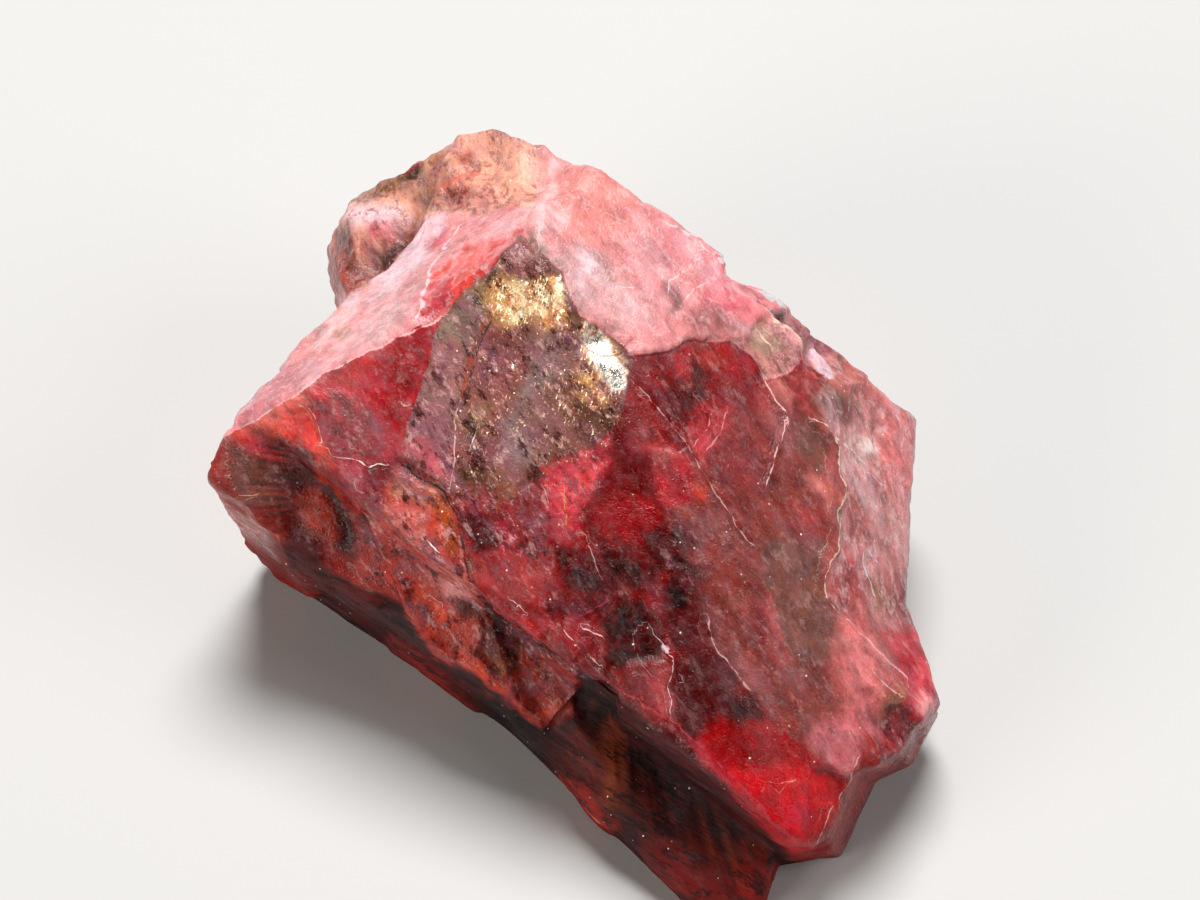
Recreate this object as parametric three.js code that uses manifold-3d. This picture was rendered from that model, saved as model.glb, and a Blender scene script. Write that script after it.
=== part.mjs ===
// A hand specimen of rhodonite: one broken lump of pink to deep red manganese
// silicate, about 50 x 55 x 31 mm, resting on its flat underside.
//
// Rhodonite cleaves on two good planes nearly at right angles, so the lump is
// bounded by flat, sharp-edged breaks with small steps on them. It is modelled
// that way: six blocks grown through one another around a common heart, each
// the space inside a set of flat breaks, with cleavage steps split off. The six
// are joined into a single solid, because the stone formed as one piece.
//
// Millimetres, +Z up. The origin is the middle of the footprint, on the table.
import * as THREE from "three";
import { mergeVertices } from "three/addons/utils/BufferGeometryUtils.js";
import Module from "manifold-3d";

// ---- driving dimensions -----------------------------------------------------

const HEART = new THREE.Vector3(1.4, -1.9, 13); // the point every break is measured from
const REACH = 220; // side of the box that stands for all space on one side of a break
const BASE_SNAP = 0.01; // corners this near the table are put exactly on it
const SLIVER = 0.02; // corners nearer one another than this are one corner

// Every break: compass direction of its outward normal (degrees from +X towards
// +Y), tilt of the normal above the horizontal (degrees), distance from HEART.
const BREAKS = {
  // the top: one broad face that slopes to the front, turning in narrower
  // faces towards the right, and the pale crown behind it
  broad_face: [-96, 56, 11],
  crimson_face: [-69, 59, 11.75],
  veil_face: [-42, 60, 12.5],
  veil_foot: [-50, 57, 12.75],
  crown: [-36, 69, 13.5],
  shoulder: [5, 50, 17],
  right_face: [-15, 36, 16.5],
  // the pale ledge along the upper left, and the wall under it
  ledge: [147, 52, 20],
  ledge_wall: [149, 6, 22.5],
  corner_wall: [140, 19, 22.5],
  // the left front corner, where the broad face breaks down in steps
  salmon_corner: [-122, 42, 16],
  scallop_wall: [-124, 11, 15],
  lump_face: [-118, 14, 12.5],
  // the overhanging rim of the broad face and its pointed foot
  rim_undercut: [-130, -17, 12],
  foot_tip: [-83, -26, 26],
  foot_end: [-24, -2, 24],
  // the steep sides at the back and right
  back_wall: [60, 12, 15.5],
  back_wall_low: [59, 8, 15.5],
  right_wall: [-6, 2, 21.5],
  // the lobe that stands out at the right front
  lobe_top: [6, 48, 12],
  lobe_wall: [17, 6, 18],
  lobe_end: [-28, -8, 27],
  lobe_foot: [-63, -26, 25],
  // the knob at the back left
  knob_face: [-169, 60, 14.5],
  knob_bevel: [148, 45, 24.5],
  knob_side: [-179, 22, 19.5],
  knob_foot: [-165, -3, 13.5],
  knob_back: [110, 12, 28],
  knob_crest: [76, 21, 24],
  knob_right: [52, 24, 18],
  // the block that juts out below the rim at the left
  block_face: [-106, 32, 11],
  block_wall: [-127, -18, 15.5],
  block_wall_low: [-129, -20, 15.5],
  block_end: [-48, -17, 10],
  block_corner: [-146, -13, 22.5],
  // the dark keel below the rim at the front
  keel_face: [-132, 32, 8.5],
  keel_wall: [-140, -16, 14.5],
  keel_top: [-77, 66, 1.5],
  keel_end: [-16, 3, 17],
  keel_tip: [-88, -12, 27.5],
  // the flat underside and the breaks that lift its edge off the table
  base: [0, -90, 13],
  under_back: [100, -30, 28.5],
  under_left: [152, -27, 26.5],
  under_right: [15, -32, 22],
};

// A plane that lies the given depth under a break, towards the heart.
function under(name, depth) {
  const [azimuth, tilt, distance] = BREAKS[name];
  return [azimuth, tilt, distance - depth];
}

const TOP = ["broad_face", "crimson_face", "veil_face", "crown"];
const UNDERSIDE = ["base", "under_back", "under_left", "under_right"];

// A block is bounded by its breaks. Its steps are thin slices that cleavage has
// taken off: each lies outside every plane in its list.
const BLOCKS = {
  slab: {
    breaks: [
      ...TOP,
      "veil_foot",
      "right_face",
      "shoulder",
      "back_wall",
      "right_wall",
      "ledge_wall",
      "ledge",
      "corner_wall",
      "salmon_corner",
      "scallop_wall",
      "rim_undercut",
      "foot_tip",
      "foot_end",
      ...UNDERSIDE,
    ],
    steps: {
      shoulder_step: [under("shoulder", 0.6), [76, 16, 12]],
      right_step: [under("right_face", 0.5), [2, -28, 14.5]],
      ledge_step: [under("ledge", 0.7), [174, -8, 12]],
      back_step: [under("back_wall", 1.3), [152, 12, 3]],
      back_chip: [under("back_wall", 0.8), [-25, -38, 5]],
      wall_step: [under("ledge_wall", 1.2), [-120, 30, 6]],
      right_wall_step: [under("right_wall", 1), [80, -20, 5]],
    },
  },
  lobe: {
    breaks: [
      ...TOP,
      "veil_foot",
      "back_wall_low",
      "lobe_wall",
      "ledge_wall",
      "lobe_top",
      "lobe_end",
      "lobe_foot",
      "rim_undercut",
      "ledge",
      "corner_wall",
      "salmon_corner",
      "scallop_wall",
      ...UNDERSIDE,
    ],
    steps: { lobe_step: [under("lobe_top", 0.5), [51, -4, 1.5]] },
  },
  knob: {
    breaks: [
      ...TOP,
      "veil_foot",
      "right_face",
      "shoulder",
      "right_wall",
      "foot_tip",
      "foot_end",
      "knob_foot",
      "knob_face",
      "knob_side",
      "knob_back",
      "knob_crest",
      "knob_right",
      "knob_bevel",
      "rim_undercut",
      "scallop_wall",
      ...UNDERSIDE,
    ],
    steps: {
      knob_step: [under("knob_face", 0.7), [166, -2, 15.5]],
      knob_back_step: [under("knob_back", 1.5), [24, -20, 3]],
    },
  },
  block: {
    breaks: [
      ...TOP,
      "right_face",
      "shoulder",
      "back_wall",
      "ledge_wall",
      "ledge",
      "corner_wall",
      "block_face",
      "block_wall",
      "block_wall_low",
      "block_end",
      "block_corner",
      ...UNDERSIDE,
    ],
    steps: {
      block_step: [under("block_face", 0.8), [-31, 36, 0]],
      scallop: [under("block_face", 1.1), [-158, -10, 15.5], [-75, 29, 0]],
    },
  },
  keel: {
    breaks: [
      "back_wall_low",
      "ledge_wall",
      "corner_wall",
      "keel_face",
      "keel_top",
      "keel_end",
      "keel_wall",
      "keel_tip",
      ...UNDERSIDE,
    ],
    steps: { keel_step: [under("keel_face", 0.7), [-163, 20, 0]] },
  },
  lump: {
    breaks: [
      ...TOP,
      "right_face",
      "shoulder",
      "back_wall",
      "ledge_wall",
      "ledge",
      "corner_wall",
      "lump_face",
      "block_end",
      "rim_undercut",
      ...UNDERSIDE,
    ],
    steps: {},
  },
};

// ---- solids -----------------------------------------------------------------

const wasm = await Module();
wasm.setup();

// A closed three.js geometry as a solid that can be joined and cut.
function toSolid(geometry) {
  const bare = geometry.clone();
  bare.deleteAttribute("normal");
  bare.deleteAttribute("uv");
  const merged = mergeVertices(bare, 1e-5);
  return new wasm.Manifold(
    new wasm.Mesh({
      numProp: 3,
      vertProperties: new Float32Array(merged.attributes.position.array),
      triVerts: new Uint32Array(merged.index.array),
    }),
  );
}

// A very large box on one side of a break: side -1 is the stone's side, +1 is
// the open air beyond it.
function halfSpace([azimuth, tilt, distance], side) {
  const a = THREE.MathUtils.degToRad(azimuth);
  const t = THREE.MathUtils.degToRad(tilt);
  const normal = new THREE.Vector3(
    Math.cos(t) * Math.cos(a),
    Math.cos(t) * Math.sin(a),
    Math.sin(t),
  );
  const turn = new THREE.Quaternion().setFromUnitVectors(
    new THREE.Vector3(0, 0, 1),
    normal,
  );
  const middle = normal
    .clone()
    .multiplyScalar(distance + (side * REACH) / 2)
    .add(HEART);
  const box = new THREE.BoxGeometry(REACH, REACH, REACH);
  box.applyMatrix4(
    new THREE.Matrix4().compose(middle, turn, new THREE.Vector3(1, 1, 1)),
  );
  return toSolid(box);
}

// The space shared by the half-spaces of a list of breaks.
function common(list, side) {
  return list
    .map((plane) => halfSpace(plane, side))
    .reduce((a, b) => a.intersect(b));
}

function block({ breaks, steps }) {
  let solid = common(
    breaks.map((name) => BREAKS[name]),
    -1,
  );
  for (const planes of Object.values(steps))
    solid = solid.subtract(common(planes, +1));
  return solid;
}

function toGeometry(solid) {
  const { vertProperties, triVerts, numProp } = solid.getMesh();
  const position = new Float32Array((vertProperties.length / numProp) * 3);
  for (let i = 0; i < position.length / 3; i++)
    for (let k = 0; k < 3; k++)
      position[3 * i + k] = vertProperties[numProp * i + k];
  for (let i = 2; i < position.length; i += 3)
    if (Math.abs(position[i]) < BASE_SNAP) position[i] = 0;
  const geometry = new THREE.BufferGeometry();
  geometry.setAttribute("position", new THREE.BufferAttribute(position, 3));
  geometry.setIndex(new THREE.BufferAttribute(new Uint32Array(triVerts), 1));
  geometry.computeVertexNormals();
  return geometry;
}

// ---- the stone --------------------------------------------------------------

const stone = Object.values(BLOCKS)
  .map(block)
  .reduce((a, b) => a.add(b))
  .asOriginal()
  .simplify(SLIVER); // drops the slivers where breaks shared by several blocks meet

const rhodonite = new THREE.Mesh(
  toGeometry(stone),
  new THREE.MeshStandardMaterial({
    name: "rhodonite",
    color: "#a8434c",
    roughness: 0.3,
    metalness: 0,
    flatShading: true,
  }),
);
rhodonite.name = "rhodonite";

const part = new THREE.Group();
part.add(rhodonite);
export default part;
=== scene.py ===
# %% [markdown]
# # A rhodonite hand specimen
#
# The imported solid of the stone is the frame: its size, its place and its flat
# breaks are settled there. This script grows the visible skin of the stone over
# it, paints the mineral zones on that skin and lights it.

# %% Load the frame
import itertools
import math

import bpy
import numpy as np
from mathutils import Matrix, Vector


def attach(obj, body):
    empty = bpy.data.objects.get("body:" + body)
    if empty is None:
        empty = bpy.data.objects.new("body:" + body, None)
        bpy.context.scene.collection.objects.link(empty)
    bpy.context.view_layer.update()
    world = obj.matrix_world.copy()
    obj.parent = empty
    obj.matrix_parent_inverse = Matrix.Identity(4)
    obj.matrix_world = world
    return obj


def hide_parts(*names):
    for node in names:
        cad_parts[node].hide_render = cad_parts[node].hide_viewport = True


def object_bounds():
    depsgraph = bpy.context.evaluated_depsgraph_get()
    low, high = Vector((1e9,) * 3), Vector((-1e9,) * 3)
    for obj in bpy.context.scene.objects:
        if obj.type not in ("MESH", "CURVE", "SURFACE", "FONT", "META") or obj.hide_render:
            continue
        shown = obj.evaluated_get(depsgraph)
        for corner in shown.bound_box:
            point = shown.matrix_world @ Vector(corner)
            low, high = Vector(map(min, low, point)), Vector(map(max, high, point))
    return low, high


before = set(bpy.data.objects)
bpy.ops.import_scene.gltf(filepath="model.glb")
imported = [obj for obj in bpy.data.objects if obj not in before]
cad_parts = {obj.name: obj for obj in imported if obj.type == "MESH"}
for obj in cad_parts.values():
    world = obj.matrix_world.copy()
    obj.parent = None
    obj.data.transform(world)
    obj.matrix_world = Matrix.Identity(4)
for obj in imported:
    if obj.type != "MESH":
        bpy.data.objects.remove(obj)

bpy.context.view_layer.update()
cad_box = [list(corner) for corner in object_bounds()]
print("packed stone, lowest and highest corner in metres:", cad_box)

MM = 0.001  # the drawing below is in millimetres, Blender's scene is in metres

# %% [markdown]
# ## The skin as one closed grid
#
# The stone has no hole and can be seen all round from one point inside it, its
# heart. So its whole surface is a function of direction: how far the skin is
# from the heart. A sculpted mesh could do the same, but a function can be
# measured, cut by planes and repeated exactly. The directions come from a cube
# whose six faces are square grids, blown up to a ball. It has no poles.

# %% Directions of a ball
GRID = 128  # squares along the edge of each of the six grids


def ball_grid(n):
    """Directions and quads of a ball made of six n by n grids.

    A point of a cube face is (1, tan a, tan b), with a and b from -45 to 45
    degrees, scaled to length 1. Points on the cube's edges are merged.
    """
    steps = np.tan(np.linspace(-math.pi / 4, math.pi / 4, n + 1))
    s, t = np.meshgrid(steps, steps, indexing="ij")
    faces = []
    for axis, sign in itertools.product(range(3), (1, -1)):
        face = np.empty(s.shape + (3,))
        face[..., axis] = sign
        face[..., (axis + 1) % 3] = sign * s
        face[..., (axis + 2) % 3] = t
        faces.append(face.reshape(-1, 3))
    points = np.concatenate(faces)
    points /= np.linalg.norm(points, axis=1, keepdims=True)
    points, where = np.unique(np.round(points, 7), axis=0, return_inverse=True)
    index = where.reshape(6, n + 1, n + 1)
    quads = np.stack(
        [index[:, :-1, :-1], index[:, 1:, :-1], index[:, 1:, 1:], index[:, :-1, 1:]], -1
    )
    return points, quads.reshape(-1, 4)


ball, quads = ball_grid(GRID)
print("grid:", len(ball), "points,", 2 * len(quads), "triangles")

# %% [markdown]
# The top of the stone carries the finest detail, so the grid is drawn closer
# together there and wider on the underside. A ball keeps its small squares
# square if it is projected flat from one pole, shrunk and projected back.

# %% Crowd the grid towards the top
CROWDED = np.array([0.0, -0.45, 0.89])  # the way that the detailed side faces
CROWDING = 0.68  # below 1 draws the points together there


def crowd(directions, pole, share):
    """Directions drawn towards a pole: tan(angle / 2) from it is multiplied by share."""
    pole = pole / np.linalg.norm(pole)
    rise = directions @ pole
    flat = directions - rise[:, None] * pole
    flat_length = np.maximum(np.linalg.norm(flat, axis=1), 1e-9)
    angle = 2 * np.arctan(share * np.tan(np.arctan2(flat_length, rise) / 2))
    return (
        np.cos(angle)[:, None] * pole
        + (np.sin(angle) / flat_length)[:, None] * flat
    )


directions = crowd(ball, CROWDED, CROWDING)
print("points that face the crowded pole:", int((directions @ CROWDED > 0).sum()))

# %% [markdown]
# ## The flat breaks
#
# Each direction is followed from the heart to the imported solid. A direction
# meets a triangle when it lies inside the pyramid from the heart over it.

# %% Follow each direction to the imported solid
HEART = np.array([1.4, -1.9, 13.0])  # mm, the point that sees the whole skin
BATCHES = 24  # the directions are followed in batches, to spare memory


def triangles_of(node):
    """Corners of a node's triangles in mm, as triangles x corners x coordinates."""
    mesh = node.data
    mesh.calc_loop_triangles()
    corners = np.empty(3 * len(mesh.vertices))
    mesh.vertices.foreach_get("co", corners)
    index = np.empty(3 * len(mesh.loop_triangles), dtype=int)
    mesh.loop_triangles.foreach_get("vertices", index)
    return corners.reshape(-1, 3)[index].reshape(-1, 3, 3) / MM


def unit(vectors):
    """The vectors scaled to length 1."""
    return vectors / np.linalg.norm(vectors, axis=-1, keepdims=True)


def reach(directions, triangles):
    """Distance from the heart to the solid along each direction.

    For a triangle with normal n and a corner p the distance is (n . p) / (n . u).
    The triangle counts when u is on the inner side of the three planes through
    the heart and its edges.
    """
    a, b, c = (triangles[:, k] - HEART for k in range(3))
    normals = unit(np.cross(b - a, c - a))
    levels = (normals * a).sum(1)
    walls = [unit(np.cross(p, q)).T for p, q in ((a, b), (b, c), (c, a))]
    distances = []
    for part in np.array_split(directions, BATCHES):
        inside = np.min([part @ wall for wall in walls], axis=0)
        slope = part @ normals.T
        met = np.where(slope > 1e-3, levels / np.maximum(slope, 1e-3), 0)
        best = np.where(inside > -1e-5, met, 0).argmax(1)
        distances.append(met[np.arange(len(part)), best])
    return np.concatenate(distances)


solid = triangles_of(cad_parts["rhodonite"])
skin = HEART + directions * reach(directions, solid)[:, None]
print("skin before wear, mm:", skin.min(0).round(2), skin.max(0).round(2))

# %% [markdown]
# Rounding an edge and raising a step both need to know the skin round each
# point: its normal and where its neighbours are.

# %% Normals and neighbours on the grid
edges = np.concatenate([quads[:, [k, (k + 1) % 4]] for k in range(4)])
edges = np.unique(np.sort(edges, axis=1), axis=0)
first, second = edges.T
neighbours = np.bincount(edges.ravel(), minlength=len(ball))


def average(values):
    """The mean over each point's neighbours of a value or a position."""
    columns = values.reshape(len(ball), -1).T
    sums = [
        np.bincount(first, column[second], len(ball))
        + np.bincount(second, column[first], len(ball))
        for column in columns
    ]
    return (np.array(sums) / neighbours).T.reshape(values.shape)


def normals_of(points):
    """Outward normals: the crossed diagonals of the quads round a point, added up."""
    a, b, c, d = (points[quads[:, k]] for k in range(4))
    crossed = np.cross(c - a, d - b)
    sums = [np.bincount(quads.ravel(), np.repeat(part, 4), len(points)) for part in crossed.T]
    return unit(np.array(sums).T)


if ((skin - HEART) * normals_of(skin)).sum() < 0:
    quads = quads[:, ::-1]
print("mean outward tilt:", round(float((directions * normals_of(skin)).sum(1).mean()), 2))

# %% [markdown]
# ## Noise
#
# Broken mineral is irregular at every scale: waves of a few millimetres on a
# break, grains of a tenth. Gradient noise gives lumps of one chosen size, and
# layers of it, each half as large and half as strong, give the rest.

# %% Noise in layers
FADE = (6, -15, 10)  # the curve 6t^5 - 15t^4 + 10t^3 from one lattice point to the next
GAIN = 1.6  # brings the noise to about -1 to 1


def noise(points, size, seed):
    """Smooth noise of about -1 to 1 with lumps of the given size in mm.

    Each point of a cubic lattice has a random slope. A place gets the eight
    slopes around it, each times its offset, mixed by the fade curve.
    """
    rng = np.random.default_rng(seed)
    order = np.tile(rng.permutation(256), 2)
    slopes = unit(rng.normal(size=(256, 3)))
    place = points / size + rng.uniform(0, 64, 3)
    cell = np.floor(place).astype(int)
    part = place - cell
    cell &= 255
    near = part**3 * (part * (part * FADE[0] + FADE[1]) + FADE[2])
    total = np.zeros(len(points))
    for corner in itertools.product((0, 1), repeat=3):
        x, y, z = ((cell + corner) & 255).T
        slope = slopes[order[order[order[x] + y] + z]]
        share = np.where(corner, near, 1 - near).prod(1)
        total += share * (slope * (part - corner)).sum(1)
    return GAIN * total


def layers(points, size, seed, count=4, fall=0.5):
    """Noise plus half-size noise times the fall, and so on, count times."""
    strength, total, sum_of_strengths = 1.0, 0.0, 0.0
    for k in range(count):
        total = total + strength * noise(points, size / 2**k, seed + 31 * k)
        sum_of_strengths += strength
        strength *= fall
    return total / sum_of_strengths


def ramp(value, low, high):
    """0 below low, 1 above high, and a smooth s-curve 3t^2 - 2t^3 between them."""
    t = np.clip((value - low) / (high - low), 0, 1)
    return t * t * (3 - 2 * t)


print("mean noise, ignoring its sign:", np.abs(noise(skin, 3.0, 1)).mean().round(2))

# %% [markdown]
# ## Chips and nicks
#
# Glassy mineral breaks along flat planes and in shell-shaped scoops. A plane or a
# ball outside the stone cuts every direction that meets it at a known distance,
# so a cut is the smaller of two distances. Each cut is given where it lies on
# top of the stone, how deep it bites and which way it faces.

# %% Cut the skin
GRAZING = 0.05  # a plane is passed over where it runs this nearly along a direction
reached = np.linalg.norm(skin - HEART, axis=1)
corners_a, corners_b, corners_c = (solid[:, k] for k in range(3))
break_normals = unit(np.cross(corners_b - corners_a, corners_c - corners_a))
break_levels = (break_normals * corners_a).sum(1)


def top_of(x, y):
    """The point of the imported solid's top at plan position x, y."""
    flat = [corner[:, :2] - (x, y) for corner in (corners_a, corners_b, corners_c)]
    turns = [p[:, 0] * q[:, 1] - p[:, 1] * q[:, 0] for p, q in zip(flat, flat[1:] + flat[:1])]
    over = (np.min(turns, axis=0) >= 0) & (break_normals[:, 2] > 1e-3)
    rises = np.where(over, break_normals[:, 2], 1)
    heights = np.where(over, (break_levels - break_normals[:, :2] @ (x, y)) / rises, 0)
    return np.array([x, y, heights.max()])


def facing(azimuth, tilt):
    """A unit vector from its compass angle and its height angle in degrees."""
    turn, rise = math.radians(azimuth), math.radians(tilt)
    return np.array(
        [math.cos(turn) * math.cos(rise), math.sin(turn) * math.cos(rise), math.sin(rise)]
    )


def slice_off(reached, at, normal, depth, span):
    """Cuts a plane with that normal, depth mm below a point, out to span mm from it.

    The plane lies at (n . p - depth - n . heart) / (n . u) along a direction u.
    """
    slope = directions @ normal
    flat = (normal @ (at - HEART) - depth) / np.maximum(slope, 1e-3)
    near = np.linalg.norm(HEART + directions * reached[:, None] - at, axis=1) < span
    return np.where(near & (slope > GRAZING), np.minimum(reached, flat), reached)


def scoop_out(reached, at, normal, depth, radius):
    """Cuts a ball of that radius, sunk depth mm into the skin at a point.

    A direction u enters the ball with centre c at b - sqrt(b^2 - |c|^2 + r^2),
    where b = u . c, all measured from the heart.
    """
    centre = at + normal * (radius - depth) - HEART
    b = directions @ centre
    under_root = b * b - centre @ centre + radius * radius
    enter = b - np.sqrt(np.maximum(under_root, 0))
    return np.where((under_root > 0) & (b > 0), np.minimum(reached, enter), reached)


CHIPS = [  # plan position, compass angle and height of the way it faces, depth, span
    ((2.0, -0.8), (-81, 78), 0.16, 2.6),   # the bright corner of the bronze parting
    ((1.2, -18.4), (-95, 35), 0.7, 1.8),   # notch in the rim
    ((16.0, -26.0), (-35, 40), 0.6, 3.0),  # tip of the crimson foot
    ((21.3, -18.6), (-50, 38), 0.8, 2.6),  # brown end of the lobe
    ((-18.6, -4.2), (-140, 50), 0.4, 2.6),  # glassy corner under the left panel
    ((17.8, 3.6), (20, 62), 0.5, 2.8),     # flaky shoulder
    ((20.2, 2.2), (-5, 30), 0.4, 2.4),     # shoulder's outer flake
    ((12.4, 8.0), (60, 50), 0.4, 3.4),     # back of the crown
]
SCOOPS = [  # plan position, compass angle and height, depth, radius
    ((13.2, -20.8), (-62, 62), 0.14, 7.0),
    ((-7.6, 17.2), (120, 70), 0.5, 3.2),
    ((-12.6, 16.4), (150, 55), 0.8, 2.6),
    ((-3.4, 13.6), (100, 80), 0.3, 5.0),
    ((-15.0, 12.8), (170, 55), 0.6, 2.4),
    ((19.2, 4.6), (30, 50), 0.5, 3.6),
    ((22.0, -14.2), (-10, 40), 0.4, 4.4),
]
for at, way, depth, span in CHIPS:
    reached = slice_off(reached, top_of(*at), facing(*way), depth, span)
for at, way, depth, radius in SCOOPS:
    reached = scoop_out(reached, top_of(*at), facing(*way), depth, radius)
cut_skin = HEART + directions * reached[:, None]
print("deepest cut, mm:", round(float(np.linalg.norm(cut_skin - skin, axis=1).max()), 2))

# %% [markdown]
# Small flat nicks sit along the sharp edges, where a broken stone is always
# bruised. An edge point is one that lies well outside its neighbours' mean, and
# a nick there faces halfway between the two breaks, more or less.

# %% Nick the edges
NICKS = 260
DEEPEST_NICK = 0.3  # mm, together where several meet
NICK_DEPTH = (0.01, 0.2)  # mm, the least and what chance adds to it
NICK_SPAN = (0.7, 2.4)  # mm
NICK_TILT = 0.22  # how far a nick turns out of the middle way
EDGE_HEIGHT = 0.15  # mm above the mean place round it that makes a point an edge point
LOWEST_NICK = 1.5  # mm above the table
MEAN_ROUNDS = 6  # rounds of averaging that give the mean place
rng = np.random.default_rng(7)
mean_place = cut_skin
for _ in range(MEAN_ROUNDS):
    mean_place = average(mean_place)
mean_normals = normals_of(mean_place)
ridge = ((cut_skin - mean_place) * mean_normals).sum(1)
on_edge = np.flatnonzero((ridge > EDGE_HEIGHT) & (cut_skin[:, 2] > LOWEST_NICK))
bruised = reached
for k in rng.choice(on_edge, NICKS):
    way = unit(mean_normals[k] + rng.normal(0, NICK_TILT, 3))
    depth = NICK_DEPTH[0] + NICK_DEPTH[1] * rng.uniform() ** 2
    bruised = slice_off(bruised, cut_skin[k], way, depth, rng.uniform(*NICK_SPAN))
reached = np.maximum(bruised, reached - DEEPEST_NICK)
skin = HEART + directions * reached[:, None]
print("nicks:", NICKS, "along", len(on_edge), "edge points")

# %% [markdown]
# ## A map of the good side
#
# The good side is seen whole from in front and above, at 50 degrees. So its
# zones are drawn on a map whose paper lies across that direction. A map unit is a
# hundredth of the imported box's width. The first number of a place counts from
# the box's left side, the second up the slope from the solid's lowest place. An
# outline tells how deep inside it a place lies, and a line how far to its left.
# One drawing then serves for the relief, the colour and the crisp edges.

# %% Places on the map
MAP_TILT = math.radians(50)
MAP_UP = np.array([0, math.sin(MAP_TILT), math.cos(MAP_TILT)])
MAP_OUT = np.array([0, -math.cos(MAP_TILT), math.sin(MAP_TILT)])
MARGIN = 3.0  # mm round a drawing within which its distance is worked out
TURNED_AWAY = 0.16  # a skin that faces the map by less than this fades into the hidden side


def on_map(points):
    """Map places of points in mm: x, and y sin 50 + z cos 50."""
    return np.stack([points[:, 0], points @ MAP_UP], 1)


MAP_UNIT = (cad_box[1][0] - cad_box[0][0]) / MM / 100  # a hundredth of the box's width
MAP_CORNER = on_map(solid.reshape(-1, 3)).min(0)


def drawn_on_map(points):
    """A drawing's points, given in map units, as map places in mm."""
    return MAP_CORNER + MAP_UNIT * np.array(points, float)


def near_drawing(places, drawn):
    """Which places lie within the margin of a drawing's box."""
    low, high = drawn.min(0) - MARGIN, drawn.max(0) + MARGIN
    return ((places > low) & (places < high)).all(1)


def to_segments(places, drawn, closed):
    """Distance to each side of a drawing, and on which hand of it a place lies."""
    starts = drawn if closed else drawn[:-1]
    steps = (np.roll(drawn, -1, 0) if closed else drawn[1:]) - starts
    offsets = places[:, None] - starts
    along = np.clip((offsets * steps).sum(2) / (steps**2).sum(1), 0, 1)
    distances = np.linalg.norm(offsets - along[..., None] * steps, axis=2)
    return distances, np.sign(steps[:, 0] * offsets[..., 1] - steps[:, 1] * offsets[..., 0])


def inside(places, outline):
    """How deep places lie inside a closed outline in mm, negative outside.

    It is the distance to the nearest side; a place is inside when a line from
    it to the right crosses an odd number of sides.
    """
    drawn = drawn_on_map(outline)
    depth = np.full(len(places), -MARGIN)
    near = near_drawing(places, drawn)
    x, y = places[near, 0, None], places[near, 1, None]
    ends = np.roll(drawn, -1, 0)
    rise = np.where(ends[:, 1] == drawn[:, 1], 1e-9, ends[:, 1] - drawn[:, 1])
    meets = drawn[:, 0] + (y - drawn[:, 1]) * (ends[:, 0] - drawn[:, 0]) / rise
    crosses = ((drawn[:, 1] > y) != (ends[:, 1] > y)) & (x < meets)
    distance = to_segments(places[near], drawn, True)[0].min(1)
    depth[near] = np.where(crosses.sum(1) % 2 == 1, distance, -distance)
    return depth


def beside(places, line):
    """Distance of places from a line of points in mm, positive on its left side."""
    drawn = drawn_on_map(line)
    away = np.full(len(places), MARGIN)
    near = near_drawing(places, drawn)
    distances, hands = to_segments(places[near], drawn, False)
    nearest = distances.argmin(1)
    rows = np.arange(len(nearest))
    away[near] = distances[rows, nearest] * hands[rows, nearest]
    return away


places = on_map(skin)
towards_map = normals_of(skin) @ MAP_OUT
on_good_side = ramp(towards_map, 0.0, TURNED_AWAY)
print("map unit, mm:", round(MAP_UNIT, 4), "corner:", MAP_CORNER.round(2))

# %% [markdown]
# Borders of mineral zones wander. The places are shifted by noise before an
# outline is read: by a few tenths of a millimetre for the soft ones, and hardly
# at all for the straight partings.

# %% Let the borders wander
LUMPS = [(2.6, 0.5), (1.3, 0.3), (0.7, 0.2), (0.4, 0.12)]  # size of the lumps and shift, mm
wander = np.zeros_like(places)
for k, (size, shift) in enumerate(LUMPS):
    wander += shift * np.stack([noise(skin, size, 100 + k), noise(skin, size, 200 + k)], 1)
print("border shift, mm:", np.abs(wander).mean().round(2))

# %% [markdown]
# ## The mineral zones
#
# The good side is a patchwork of some two hundred and fifty zones: clear red
# glass, milky pink, brown stain. Noise could scatter them but puts nothing in its
# place, and a painted image has one fixed sharpness. So each zone is an outline of
# a few points, filled with a colour of the palette over a soft or a crisp border. A
# later zone lies over an earlier one.

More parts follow.
